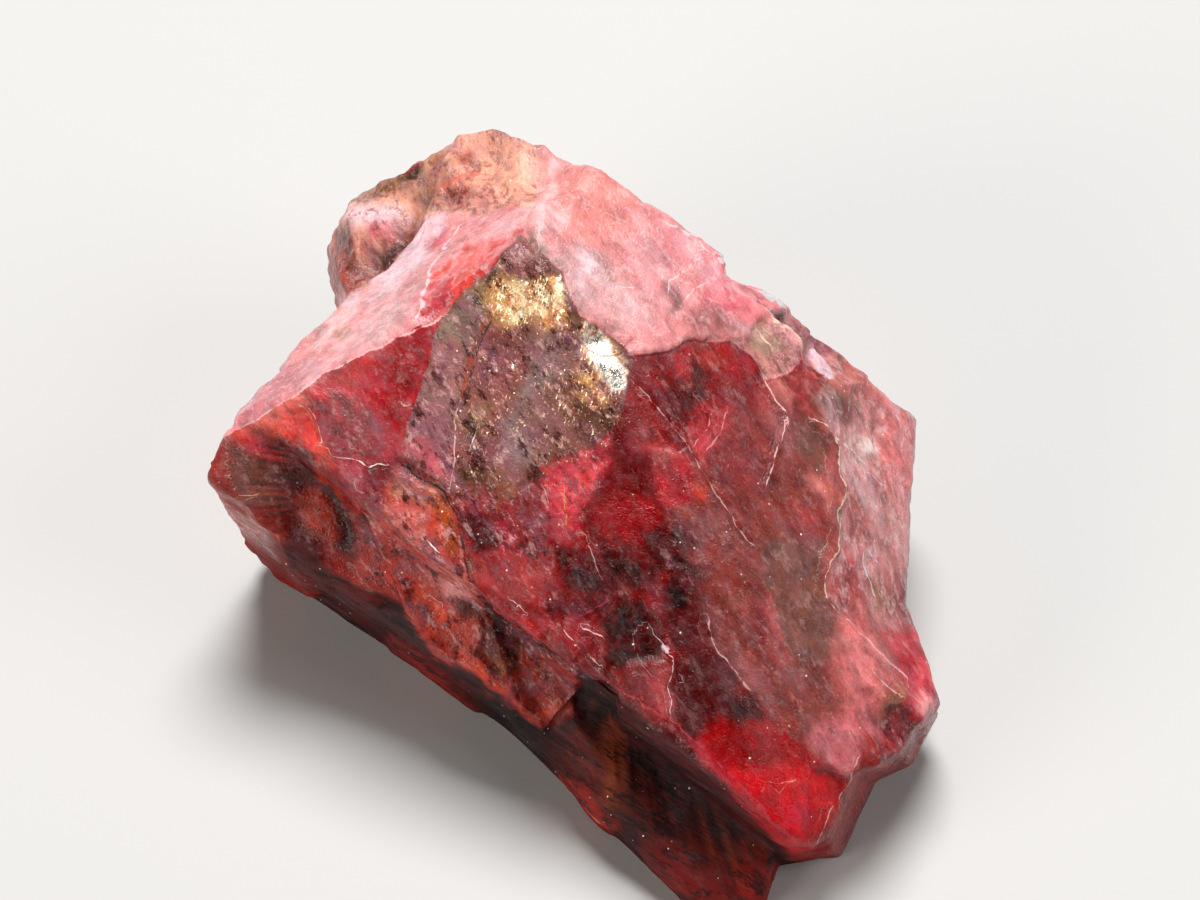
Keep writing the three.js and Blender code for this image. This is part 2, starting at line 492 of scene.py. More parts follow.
# %% Palette
PALETTE = {  # colours of the stone as they look in its broken surface
    "black": "#120706", "black maroon": "#260a09", "purple black": "#2c1018", "black green": "#24201a",
    "dark brown": "#44240f", "dark olive": "#3c3020", "maroon": "#440c0d", "dark crimson": "#5e0d14",
    "crimson": "#860f1c", "bright crimson": "#b01a2a", "magenta": "#98244a", "rose crimson": "#a83442",
    "red": "#94201c", "scarlet": "#b83228", "dark red": "#7c181a", "red brown": "#6b231a",
    "brick": "#8c3426", "rust": "#a2441f", "orange": "#b85a2c", "red salmon": "#a5483a",
    "salmon": "#c46654", "salmon pink": "#d88880", "coral": "#d05850", "hot pink": "#cc6670",
    "rose": "#b4505c", "deep rose": "#96343e", "pink": "#cf8a8a", "dull pink": "#b47e78",
    "pale pink": "#e6b0ae", "mauve pink": "#b8787e", "lilac": "#bc9492", "lilac white": "#dcc4cc",
    "white": "#f4eae4", "mauve": "#8e5660", "dark mauve": "#5a303a", "mauve brown": "#783e40",
    "peach": "#dfa48c", "rose brown": "#95504f", "wet black": "#0a0505", "burnt orange": "#c0582e",
    "sienna": "#8a3a20", "veil brown": "#744840", "veil grey": "#6a5a4c", "dusty pink": "#dc9c94",
    "grey mauve": "#765454", "grey rose": "#9a6460", "silky grey": "#80696a", "grey green": "#5c5044",
    "olive": "#7a6444", "olive grey": "#786458", "pale olive": "#94806a", "gold brown": "#8e5a22",
    "brown olive": "#5a3a1c", "brown": "#5c3020", "bronze": "#70463c", "tan": "#a07a5c",
    "cream": "#e0c4a8", "gold": "#b8844a", "pale gold sheen": "#f4e0b4", "blue white": "#b4c6c8",
}
print("colours:", len(PALETTE))

# %% [markdown]
# The long front wall below the block is nearly black: partly manganese oxide,
# partly painted shade. Maroon and brown lumps show through it.

# %% Zones of the front wall
FRONT_WALL = [  # name, colour, half width of the border in mm, outline in map units
    # painted shade over dark oxide: the wall's near-black stands partly for its shade
    ("wall", "black maroon", 0.35, [(9, 51), (14, 49), (17, 46), (20.5, 44), (24, 43.5), (28, 40),
        (31.5, 34.5), (36, 33), (42, 28.5), (45.5, 24.5), (50, 20), (46, 14), (30, 24), (8, 40)]),
    ("wall, maroon lump", "maroon", 0.5, [(10.5, 50.5), (14, 49.5), (17, 46.5), (16, 43), (11, 43)]),
    ("wall, brown spot", "dark brown", 0.4, [(16, 45.5), (18, 45), (18.5, 43.5), (16.5, 43)]),
    ("wall, brown", "red brown", 0.6, [(19, 44), (24, 43), (26, 41.5), (24, 41.5), (20, 42.5)]),
    ("wall, maroon patch", "maroon", 0.6, [(17.5, 41.5), (21, 41), (23, 38.5), (21, 37), (18, 39)]),
    ("wall, red foot", "red brown", 0.35, [(24, 36.5), (27, 36), (29.5, 34), (32, 31.5), (34.5, 29),
        (37, 26), (34, 24), (22, 33)]),
    ("wall, brick foot", "brick", 0.4, [(28, 32.5), (31, 31.5), (34, 28.5), (31, 28)]),
    ("wall, black", "black", 0.5, [(36, 30.5), (42, 27), (45, 23.5), (50, 19.5), (45, 17), (38, 25)]),
    ("wall, mauve gleam", "dark mauve", 0.3, [(37, 30), (39, 29.5), (39, 28), (37.5, 28.5)]),
]
print("zones:", len(FRONT_WALL))

# %% [markdown]
# The keel lies in the shade of the rim. Its black is partly a dark crust and partly
# that shade, painted on, with strips of brown and gold brown along its fibres.

# %% Zones of the keel
KEEL = [
    # painted shade: the keel's black stands partly for the rim's shadow
    ("keel", "black", 0.4, [(50, 32.5), (56, 30), (60, 26), (66, 21), (72, 15.5), (79, 10), (80, 3),
        (76, -1), (66, -1), (57, 6), (44, 18), (42, 24), (45, 25), (50.5, 27)]),
    ("keel, left brown", "dark brown", 0.6, [(45.5, 24.5), (49, 25), (53, 24), (55, 20), (52, 15),
        (46, 18)]),
    ("keel, red brown", "red brown", 0.8, [(48, 23), (51, 23.5), (53, 21.5), (52.5, 19.5), (49, 20)]),
    ("keel, brick strips", "brick", 0.5, [(48, 19), (52, 17), (56, 12.5), (55, 10), (51, 13)]),
    ("keel, gold one", "gold brown", 0.9, [(54, 24.5), (56, 24.5), (57, 21), (56.5, 15.5), (54.5, 15),
        (53.5, 19)]),
    ("keel, olive", "brown olive", 0.8, [(57, 19.5), (60, 20), (61, 18), (58.5, 17.5)]),
    ("keel, brown", "brown", 0.4, [(57, 17), (62, 16.5), (66, 13), (66, 9.5), (61, 9), (58, 12)]),
    ("keel, gold two", "gold brown", 0.9, [(66, 12), (68, 12), (71, 9.5), (75, 9), (75, 7), (70, 6.5),
        (67, 8)]),
    ("keel, red foot", "red brown", 0.5, [(59, 9), (65, 8.5), (70, 6), (73, 4), (70, 0), (60, 4)]),
    ("keel, red end", "brick", 0.5, [(73, 6), (78, 7), (79, 3), (76, 0), (72, 2.5)]),
]
print("zones:", len(KEEL))

# %% [markdown]
# The left corner is weathered: a rounded lump, an olive facet and a stained
# recess, with a salmon corner above them.

# %% Zones of the left corner
LEFT_CORNER = [
    ("left lump", "sienna", 0.4, [(-3, 56), (0, 61), (2, 66), (4, 64), (5, 56), (8, 54), (10.5, 52),
        (11.5, 49), (14, 43), (8, 41), (-2, 48)]),
    ("left lump, tip", "brick", 0.4, [(-3, 56), (0, 63), (3.5, 64), (3.5, 60), (4.5, 56), (2, 54)]),
    ("left lump, dark foot", "red brown", 0.5, [(4, 50), (8, 50.5), (11, 49.5), (13, 45), (9, 43),
        (4, 45)]),
    ("recess", "dark brown", 0.35, [(8.5, 60.5), (12, 60.5), (15, 59.5), (17.5, 57), (19.5, 54.5),
        (20.5, 51), (20.5, 46.5), (17.5, 47), (14, 49), (11, 50), (10, 53), (9.5, 56.5)]),
    ("recess, rust", "rust", 0.5, [(12, 56), (15, 57), (17, 54.5), (18, 51), (16, 49.5), (13, 52)]),
    ("recess, maroon", "maroon", 0.5, [(10.5, 57.5), (13, 58), (16, 57), (15, 56), (11, 55.5)]),
    ("recess, dark foot", "maroon", 0.4, [(10.5, 51), (13, 50.5), (17, 48.5), (18.5, 46), (15, 45),
        (12, 46.5)]),
    ("recess, brick foot", "brick", 0.4, [(15, 49.5), (18, 49.5), (20, 47), (18, 46), (16, 47.5)]),
    ("recess, black streak", "black green", 0.25, [(16, 57), (17.5, 56.5), (19.5, 53), (20, 50.5),
        (19.5, 48.5), (18.5, 50.5), (17.5, 54)]),
    ("recess, orange stripe", "orange", 0.25, [(14.5, 61), (16.5, 59.5), (18.5, 56.5), (19, 55),
        (17.5, 57), (15.5, 58.5)]),
    ("olive facet", "olive grey", 0.25, [(3.5, 62.5), (7, 63), (8.5, 60.5), (9.5, 57.5), (10, 55),
        (8, 54), (5, 56), (4, 58.5)]),
    ("olive facet, grey", "grey green", 0.4, [(4.5, 62), (7, 62), (7.5, 58), (5, 57.5), (4.5, 60)]),
    ("olive facet, gold", "gold brown", 0.4, [(7, 58.5), (9, 60), (10, 57), (9.5, 55), (8, 54.5),
        (7, 56)]),
    ("salmon corner", "salmon", 0.2, [(3, 64.5), (5, 66.5), (8, 68.5), (13, 70.5), (14.5, 70.5),
        (15, 68), (16, 66), (16.5, 64), (18, 61.5), (18, 59.5), (15.5, 60.5), (12, 60.5), (8.5, 60.5),
        (6.5, 63)]),
    ("salmon corner, pale", "salmon pink", 0.5, [(4.5, 66), (8, 68.5), (13, 70.5), (15, 68.5),
        (12, 67.5), (9, 67), (6, 65)]),
    ("salmon corner, coral", "coral", 0.5, [(10.5, 67), (14.5, 67.5), (16, 65), (17, 62), (17.5, 60),
        (15, 61), (12, 64)]),
    ("salmon corner, rose", "rose", 0.5, [(5, 64.5), (8, 65), (10, 63.5), (8, 61.5), (6, 62)]),
    ("salmon corner, maroon", "maroon", 0.4, [(10, 64.5), (12, 64), (14, 62), (16.5, 59.5), (14, 59.5),
        (11, 60.5), (9, 62.5)]),
    ("salmon corner, brown", "red brown", 0.3, [(3, 64.5), (4.5, 64.5), (6, 62.5), (4.5, 61.5),
        (3.5, 62)]),
]
print("zones:", len(LEFT_CORNER))

# %% [markdown]
# A deep rose panel lies between that corner and the bronze film. Its foot is
# darker and grainy.

# %% Zones of the left panel
LEFT_PANEL = [
    ("left panel", "rose crimson", 0.2, [(14.5, 70.5), (17, 73), (22, 75.5), (28, 78.5), (33, 80.5),
        (31.5, 77), (30.5, 72), (29, 68), (28, 65), (27.5, 61.5), (27, 59), (25, 56), (23, 55),
        (20.5, 56), (19, 58.5), (18, 61.5), (16.5, 64), (16, 66), (15, 68)]),
    ("left panel, salmon", "red salmon", 0.8, [(14.5, 70.5), (17, 72.5), (22, 75.5), (26, 77),
        (25, 74.5), (21, 72), (18, 70)]),
    ("left panel, crimson", "crimson", 0.8, [(24, 75.5), (28, 78), (31.5, 79), (30.5, 74), (29, 69),
        (27.5, 63), (26, 61), (25, 66), (25, 71)]),
    ("left panel, dark patch", "dark red", 0.7, [(25, 74), (28, 74.5), (29.5, 72.5), (28, 70.5),
        (25.5, 71)]),
    ("left panel, grain", "mauve brown", 0.5, [(15.5, 69), (18, 70), (21, 69), (24, 67), (25, 63.5),
        (24.5, 61), (21, 61.5), (18.5, 61.5), (17, 63.5), (16.5, 66)]),
    ("left panel, brown", "mauve brown", 0.7, [(16.5, 68.5), (19, 69), (21, 67), (19, 64.5),
        (17.5, 65)]),
    ("left panel, dark foot", "dark crimson", 0.5, [(22, 60.5), (25, 61), (27.5, 62), (27, 59), (25, 56),
        (22.5, 55), (21.5, 57.5)]),
    ("left panel, grain foot", "mauve", 0.5, [(18, 61.5), (21, 61), (22, 59.5), (21.5, 56.5),
        (20.5, 56.5), (19, 58.5)]),
]
print("zones:", len(LEFT_PANEL))

# %% [markdown]
# The block that juts out below the rim is fine-grained, salmon to rust, with
# brown hollows. A notch parts it from the rim, painted black as shade, and the
# rim's shadow is painted along the block.

# %% Zones of the jutting block
MID_BLOCK = [
    ("block", "red salmon", 0.3, [(20, 56.5), (23, 55), (26, 56.5), (27, 59), (27.5, 61.5),
        (29.5, 59.5), (33, 56.5), (34.5, 54), (35, 50), (36, 46.5), (37, 44.5), (40, 42), (44, 39),
        (48, 36.5), (50, 34), (51, 32), (50.5, 27.5), (48, 26), (45, 25), (42, 28), (38, 31.5), (34, 34),
        (31.5, 34.5), (29, 38), (26, 42), (23, 43.5), (20, 44.5), (20.5, 50)]),
    ("block, lilac", "lilac", 0.5, [(21.5, 54), (23.5, 54.5), (24.5, 52.5), (23, 51.5)]),
    ("block, orange spot", "orange", 0.4, [(24, 53), (25.5, 52.5), (25.5, 51), (24, 51)]),
    ("block, maroon", "maroon", 0.4, [(21, 55), (22, 54.5), (22.5, 51.5), (23.5, 49.5), (22, 49.5),
        (21, 52)]),
    ("block, pink grain", "dull pink", 0.8, [(26, 55.5), (30, 55.5), (32, 53.5), (33, 50), (31, 49),
        (27, 50.5), (25.5, 53)]),
    ("block, pale olive", "pale olive", 0.6, [(26.5, 60), (28.5, 60), (30.5, 57.5), (30, 56),
        (27, 56.5), (26, 58)]),
    ("block, gold", "gold brown", 0.4, [(28.5, 59.5), (31.5, 57.5), (34, 55.5), (34.5, 52),
        (34.5, 49), (33, 50), (32.5, 53.5), (30, 56)]),
    ("block, dull pink", "dull pink", 0.7, [(30, 49), (33, 49), (35.5, 47), (36.5, 44), (36, 41.5),
        (33, 41.5), (31, 43), (29.5, 46)]),
    ("block, pale patch", "pale pink", 0.6, [(32.5, 44.5), (35, 45), (36.5, 43.5), (35, 42),
        (33, 42)]),
    ("block, rust foot", "burnt orange", 0.6, [(26.5, 45), (29.5, 44), (31.5, 41.5), (33.5, 40),
        (36, 39.5), (37, 36.5), (35, 34.5), (32, 35.5), (30, 38), (28, 41)]),
    ("block, salmon foot", "salmon", 0.6, [(32, 41), (34, 40), (36.5, 38), (36, 35.5), (34, 35.5),
        (33, 38)]),
    ("block, stain", "brown olive", 0.4, [(33.5, 42), (36, 42.5), (38, 41), (37.5, 39),
        (34.5, 39.5)]),
    ("block, hollow", "brown olive", 0.5, [(37, 40), (40, 39), (43, 37), (42.5, 33.5), (40.5, 32.5),
        (38, 34.5)]),
    ("block, tan", "tan", 0.35, [(39, 34.5), (40.5, 34), (42, 32), (40.5, 32), (39.5, 33)]),
    ("block, gold spot", "gold brown", 0.4, [(40.5, 35.5), (42.5, 34.5), (42, 33), (40.5, 33.5)]),
    ("block, rust edge", "burnt orange", 0.4, [(35.5, 34.5), (38, 33.5), (40.5, 31.5), (41, 29.5),
        (38.5, 31), (36, 33)]),
    ("block, brown red", "sienna", 0.5, [(42, 34), (45, 34.5), (49.5, 33), (51, 30), (50.5, 27.5),
        (48, 26), (45.5, 25), (43, 28), (41.5, 31)]),
    ("block, red end", "red", 0.4, [(49, 33), (51, 32), (50.5, 28), (49.5, 28)]),
    ("block, foot spot", "salmon", 0.4, [(46, 28.5), (48, 28.5), (47.5, 27), (46, 27)]),
    ("block, shade", "black maroon", 0.35, [(37, 43.5), (38.5, 42), (40.5, 40), (44, 37.5), (47, 36),
        (50, 34), (51.5, 32.5), (46, 34.5), (42.5, 36.5), (40, 38.5), (38, 40)]),
    # painted shade: the notch is painted black
    ("notch", "black", 0.3, [(50.5, 34), (52.5, 32.5), (56, 30), (55, 26), (52, 25), (50, 27.5)]),
    ("notch, olive", "dark olive", 0.3, [(51.5, 29), (53, 28.5), (52.5, 27), (51.5, 27)]),
]
print("zones:", len(MID_BLOCK))

# %% [markdown]
# Below the film the stone is a mass of small grains, rose above and nearly black
# below, beside a patch of clear red glass.

# %% Zones below the film
BELOW_FILM = [
    ("granular", "mauve brown", 0.8, [(35, 58), (40, 60), (45, 62), (46.5, 56), (47.5, 51), (46, 47.5),
        (40, 47), (36, 48.5), (35, 52)]),
    ("granular, mauve", "mauve", 0.5, [(36, 58.5), (39.5, 58), (40, 55.5), (36.5, 55)]),
    ("granular, black", "purple black", 0.8, [(36, 54.5), (38.5, 55), (40.5, 53.5), (41.5, 50.5),
        (40.5, 48.5), (38, 48), (36, 49.5)]),
    ("granular, pale", "pale olive", 0.6, [(40.5, 60), (42, 59.5), (42.5, 56), (41, 55.5), (40, 57)]),
    ("granular, brown", "brown", 0.5, [(42, 60), (44.5, 60), (44.5, 57), (42.5, 57)]),
    ("granular, magenta", "magenta", 0.5, [(40.5, 52), (42, 52.5), (42.5, 49), (40.5, 48.5)]),
    ("granular, foot", "rose brown", 0.6, [(36.5, 47.5), (40, 48), (45, 48), (46, 43.5), (44, 41),
        (40, 43), (37, 44.5)]),
    ("rose", "rose", 0.8, [(46, 63), (50, 66), (55, 66), (55, 60), (53.5, 57), (51.5, 53), (49, 50.5),
        (46.5, 53), (45, 57)]),
    ("rose, pink", "hot pink", 0.9, [(48.5, 60), (52.5, 61), (54, 58.5), (51.5, 56), (49.5, 54.5),
        (48, 57)]),
    ("rose, red spot", "scarlet", 0.3, [(50.5, 59.5), (52, 59.5), (52, 58), (50.5, 57.5)]),
    ("red glass", "dark crimson", 0.5, [(53, 58), (55, 61), (55, 67), (57.5, 68), (59.5, 64), (60.5, 60),
        (61.5, 56), (62.5, 52), (62, 48), (61, 45.5), (59, 46.5), (57, 48), (55, 49.5), (53, 50.5),
        (51.5, 52.5), (51, 54), (52, 56)]),
    ("red glass, bright", "crimson", 0.7, [(54, 56.5), (57, 57), (60, 56), (61, 52.5), (58, 51),
        (55, 50.5), (53, 52), (52, 54.5)]),
    ("red glass, dark", "dark crimson", 0.6, [(57.5, 61), (60, 61), (60.5, 57), (58.5, 57.5)]),
    ("red glass, mauve", "mauve", 0.5, [(57.5, 64.5), (59.5, 64.5), (60, 62), (58, 62)]),
    ("red glass, band", "maroon", 0.5, [(59, 52.5), (62, 51), (62, 47.5), (60.5, 44), (59, 44.5),
        (59.5, 48)]),
    ("dark mottle", "maroon", 0.8, [(46.5, 49.5), (49, 50), (52, 49.5), (55, 49.5), (58, 47.5),
        (59.5, 46), (59.5, 44), (56.5, 43.5), (54, 42), (51.5, 42), (49, 43.5), (47, 46)]),
    ("dark mottle, black", "wet black", 0.9, [(49, 48), (52, 47.5), (53.5, 45), (51.5, 43.5),
        (49.5, 45)]),
    ("dark mottle, right", "wet black", 0.8, [(54, 49), (57, 48), (59, 46), (57.5, 45), (55, 46)]),
    ("dark mottle, brown", "mauve brown", 0.4, [(49, 43.5), (51.5, 43.5), (50.5, 42.5), (49, 42.5)]),
    ("dark mottle, left", "mauve brown", 0.6, [(45.5, 47), (47.5, 46.5), (48, 44), (46, 43.5)]),
    ("red gap", "maroon", 0.4, [(47, 43), (49, 42.5), (51.5, 42), (55, 43), (55.5, 42), (52.5, 40.5),
        (49.5, 40), (46.5, 41)]),
    ("rim", "red brown", 0.35, [(36.5, 45), (40, 43.5), (43, 42), (46, 40.5), (50, 39), (54, 36.5),
        (57, 34), (57.5, 31), (54, 32), (50, 34), (47, 36), (44, 38), (41, 40), (38.5, 42)]),
    ("rim, rose", "deep rose", 0.5, [(46, 40.5), (50, 39.5), (54, 37.5), (56, 35), (53, 35), (49, 37),
        (46, 39)]),
    ("rim, red", "red", 0.4, [(37.5, 44), (40.5, 42), (43.5, 40), (46.5, 38), (46, 36.5), (43, 38.5),
        (40, 40.5), (38, 42.5)]),
    ("black patch", "wet black", 0.8, [(53, 39.5), (55, 41.5), (57.5, 42.5), (60, 41.5), (61.5, 39.5),
        (61, 37), (61, 34.5), (59, 32.5), (56.5, 33), (54.5, 34.5), (53, 36.5)]),
    ("low crimson", "maroon", 0.5, [(60.5, 43), (63, 45), (67, 44.5), (69.5, 41), (68.5, 38),
        (70.5, 34.5), (73, 30.5), (75.5, 27.5), (80, 24.5), (84, 20.5), (79, 19), (70, 19), (66.5, 22),
        (63.5, 26.5), (63, 30), (63, 34), (62.5, 38)]),
    ("triangle", "red brown", 0.12, [(55, 33.5), (57.5, 34.5), (60, 35), (62.5, 34.5), (63, 33),
        (62.5, 31.5), (63, 28.5), (63.5, 26), (60, 27.5), (56, 31)]),
    ("triangle, pale", "rose brown", 0.35, [(61, 34), (62.5, 34), (62.5, 31.5), (63, 28), (62.5, 27),
        (60.5, 28), (60, 30)]),
]
print("zones:", len(BELOW_FILM))

# %% [markdown]
# The foot of the broad face is the clearest stone of the specimen, and so the
# deepest crimson. Along the underside of the rim a maroon band of painted shade
# runs down to the keel.

# %% Zones of the crimson foot
CRIMSON_FOOT = [
    ("crimson foot", "crimson", 0.5, [(66, 25), (70, 27.5), (75, 27.5), (80, 24.5), (83.5, 21),
        (85.5, 18), (83, 12), (82, 9), (78.5, 9), (74, 14.5), (69.5, 19)]),
    ("crimson foot, bright", "bright crimson", 0.7, [(70.5, 20), (75, 20.5), (80, 21), (84.5, 19),
        (84, 15), (82, 11), (79, 11), (74.5, 15)]),
    ("crimson foot, magenta", "magenta", 0.5, [(78.5, 16), (81, 15.5), (81.5, 13.5), (79, 13.5)]),
    ("crimson foot, dark", "maroon", 0.6, [(63.5, 35), (67, 36), (70, 33), (71.5, 30), (70, 27.5),
        (65.5, 26.5), (63, 29)]),
    ("crimson foot, black", "black maroon", 0.5, [(70.5, 30), (73, 30), (74.5, 27.5), (72.5, 26),
        (70.5, 27)]),
    ("crimson foot, edge", "rose crimson", 0.4, [(65, 25), (68, 23), (72, 19), (76, 15), (79.5, 12),
        (81.5, 10), (79, 9.5), (75, 13), (70, 17.5), (66, 21.5)]),
    # painted shade: the maroon band under the rim stands for its shadow
    ("rim, underside", "maroon", 0.25, [(51, 33), (56, 30.5), (60, 27), (64.5, 24.5), (66.5, 21.5),
        (71, 16.5), (75, 12.5), (78, 9.5), (76, 8.5), (72, 13), (68, 17.5), (64, 21), (60, 24.5),
        (55, 28.5), (51, 32)]),
]
print("zones:", len(CRIMSON_FOOT))

# %% [markdown]
# The veil is a sheet of brown pink. A wedge of dark red lies beside it, and the
# red edge under the crown lies over both.

# %% Zones of the wedge and the red edge
RED_EDGE = [
    ("wedge, grain", "mauve brown", 0.5, [(56.5, 69.5), (58, 69), (59.5, 66), (60.5, 62.5), (59, 62),
        (57.5, 65)]),
    ("wedge", "dark red", 0.2, [(58, 72), (60, 69.5), (62, 67.5), (64, 64.5), (65, 63), (64, 62),
        (60.5, 62.5), (60, 65), (58.5, 68)]),
    ("wedge foot", "deep rose", 0.5, [(60, 63), (64.5, 62.5), (66.5, 60.5), (68.5, 57), (69.5, 55.5),
        (66, 54.5), (62.5, 55.5), (60.5, 57.5)]),
    ("wedge foot, pale", "grey rose", 0.5, [(60, 62.5), (62.5, 62.5), (63.5, 61), (61, 60)]),
    ("wedge foot, rust", "rust", 0.4, [(65.5, 58.5), (68, 58), (68.5, 56.5), (66, 56)]),
    ("veil", "veil brown", 0.3, [(65, 63), (67, 66.5), (70.5, 68.5), (75, 68.5), (76.5, 71.5), (80, 73),
        (83.5, 72), (84.5, 66), (85.5, 63), (85, 60), (86, 57), (85.5, 53), (84.5, 48), (83.5, 43),
        (80, 40), (76, 43), (72, 44), (69, 42), (66, 45), (63, 50), (62, 54), (64, 55.5), (68, 56.5)]),
    ("red edge", "dark red", 0.3, [(57.5, 75), (60.5, 75.5), (62.5, 76), (65, 77.5), (68, 77), (71, 76),
        (73.5, 74.5), (75.5, 72.5), (76, 70.5), (75, 68), (70.5, 67), (67, 64), (65, 63), (62.5, 67),
        (60, 70), (58, 72)]),
    ("red edge, left", "mauve brown", 0.5, [(58.5, 74.5), (60, 75), (62, 73), (60.5, 71), (59, 72)]),
    ("red edge, rose", "deep rose", 0.5, [(63.5, 76.5), (66.5, 77), (66, 73), (64, 72.5), (63, 74.5)]),
    ("red edge, brick", "brick", 0.5, [(66.5, 77), (69.5, 77), (71, 74.5), (69.5, 73), (67, 73.5)]),
    ("red edge, crimson", "rose crimson", 0.5, [(71, 75.5), (73.5, 74.5), (74, 73), (72, 71.5),
        (70.5, 72.5)]),
    ("red edge, dark", "maroon", 0.6, [(61, 70.5), (65, 72), (67.5, 71), (67, 67), (65, 65.5),
        (62.5, 68)]),
    ("red edge, dark brown", "dark brown", 0.3, [(66, 75), (67, 74.5), (67.5, 71), (67, 69),
        (66, 70.5)]),
    ("red edge, mauve", "mauve brown", 0.7, [(70, 71), (74, 71), (75, 68.5), (71, 67.5), (69, 69)]),
    ("red edge, brown", "red brown", 0.5, [(74, 73), (75.5, 72.5), (76, 70.5), (74.5, 69), (74, 70.5)]),
    ("feather", "rose", 0.7, [(65.5, 63.5), (67, 66), (68.5, 67.5), (71, 68.5), (71, 65.5), (69.5, 62.5),
        (67, 61)]),
    ("feather, crimson", "crimson", 0.5, [(66, 67.5), (68, 68.5), (70, 66.5), (68, 65), (66.5, 65.5)]),
]
print("zones:", len(RED_EDGE))

# %% [markdown]
# The veil, its foot and the right face beyond the ridge are milky. Their colours
# are close to one another, so the borders are wide. The lobe stands out below.

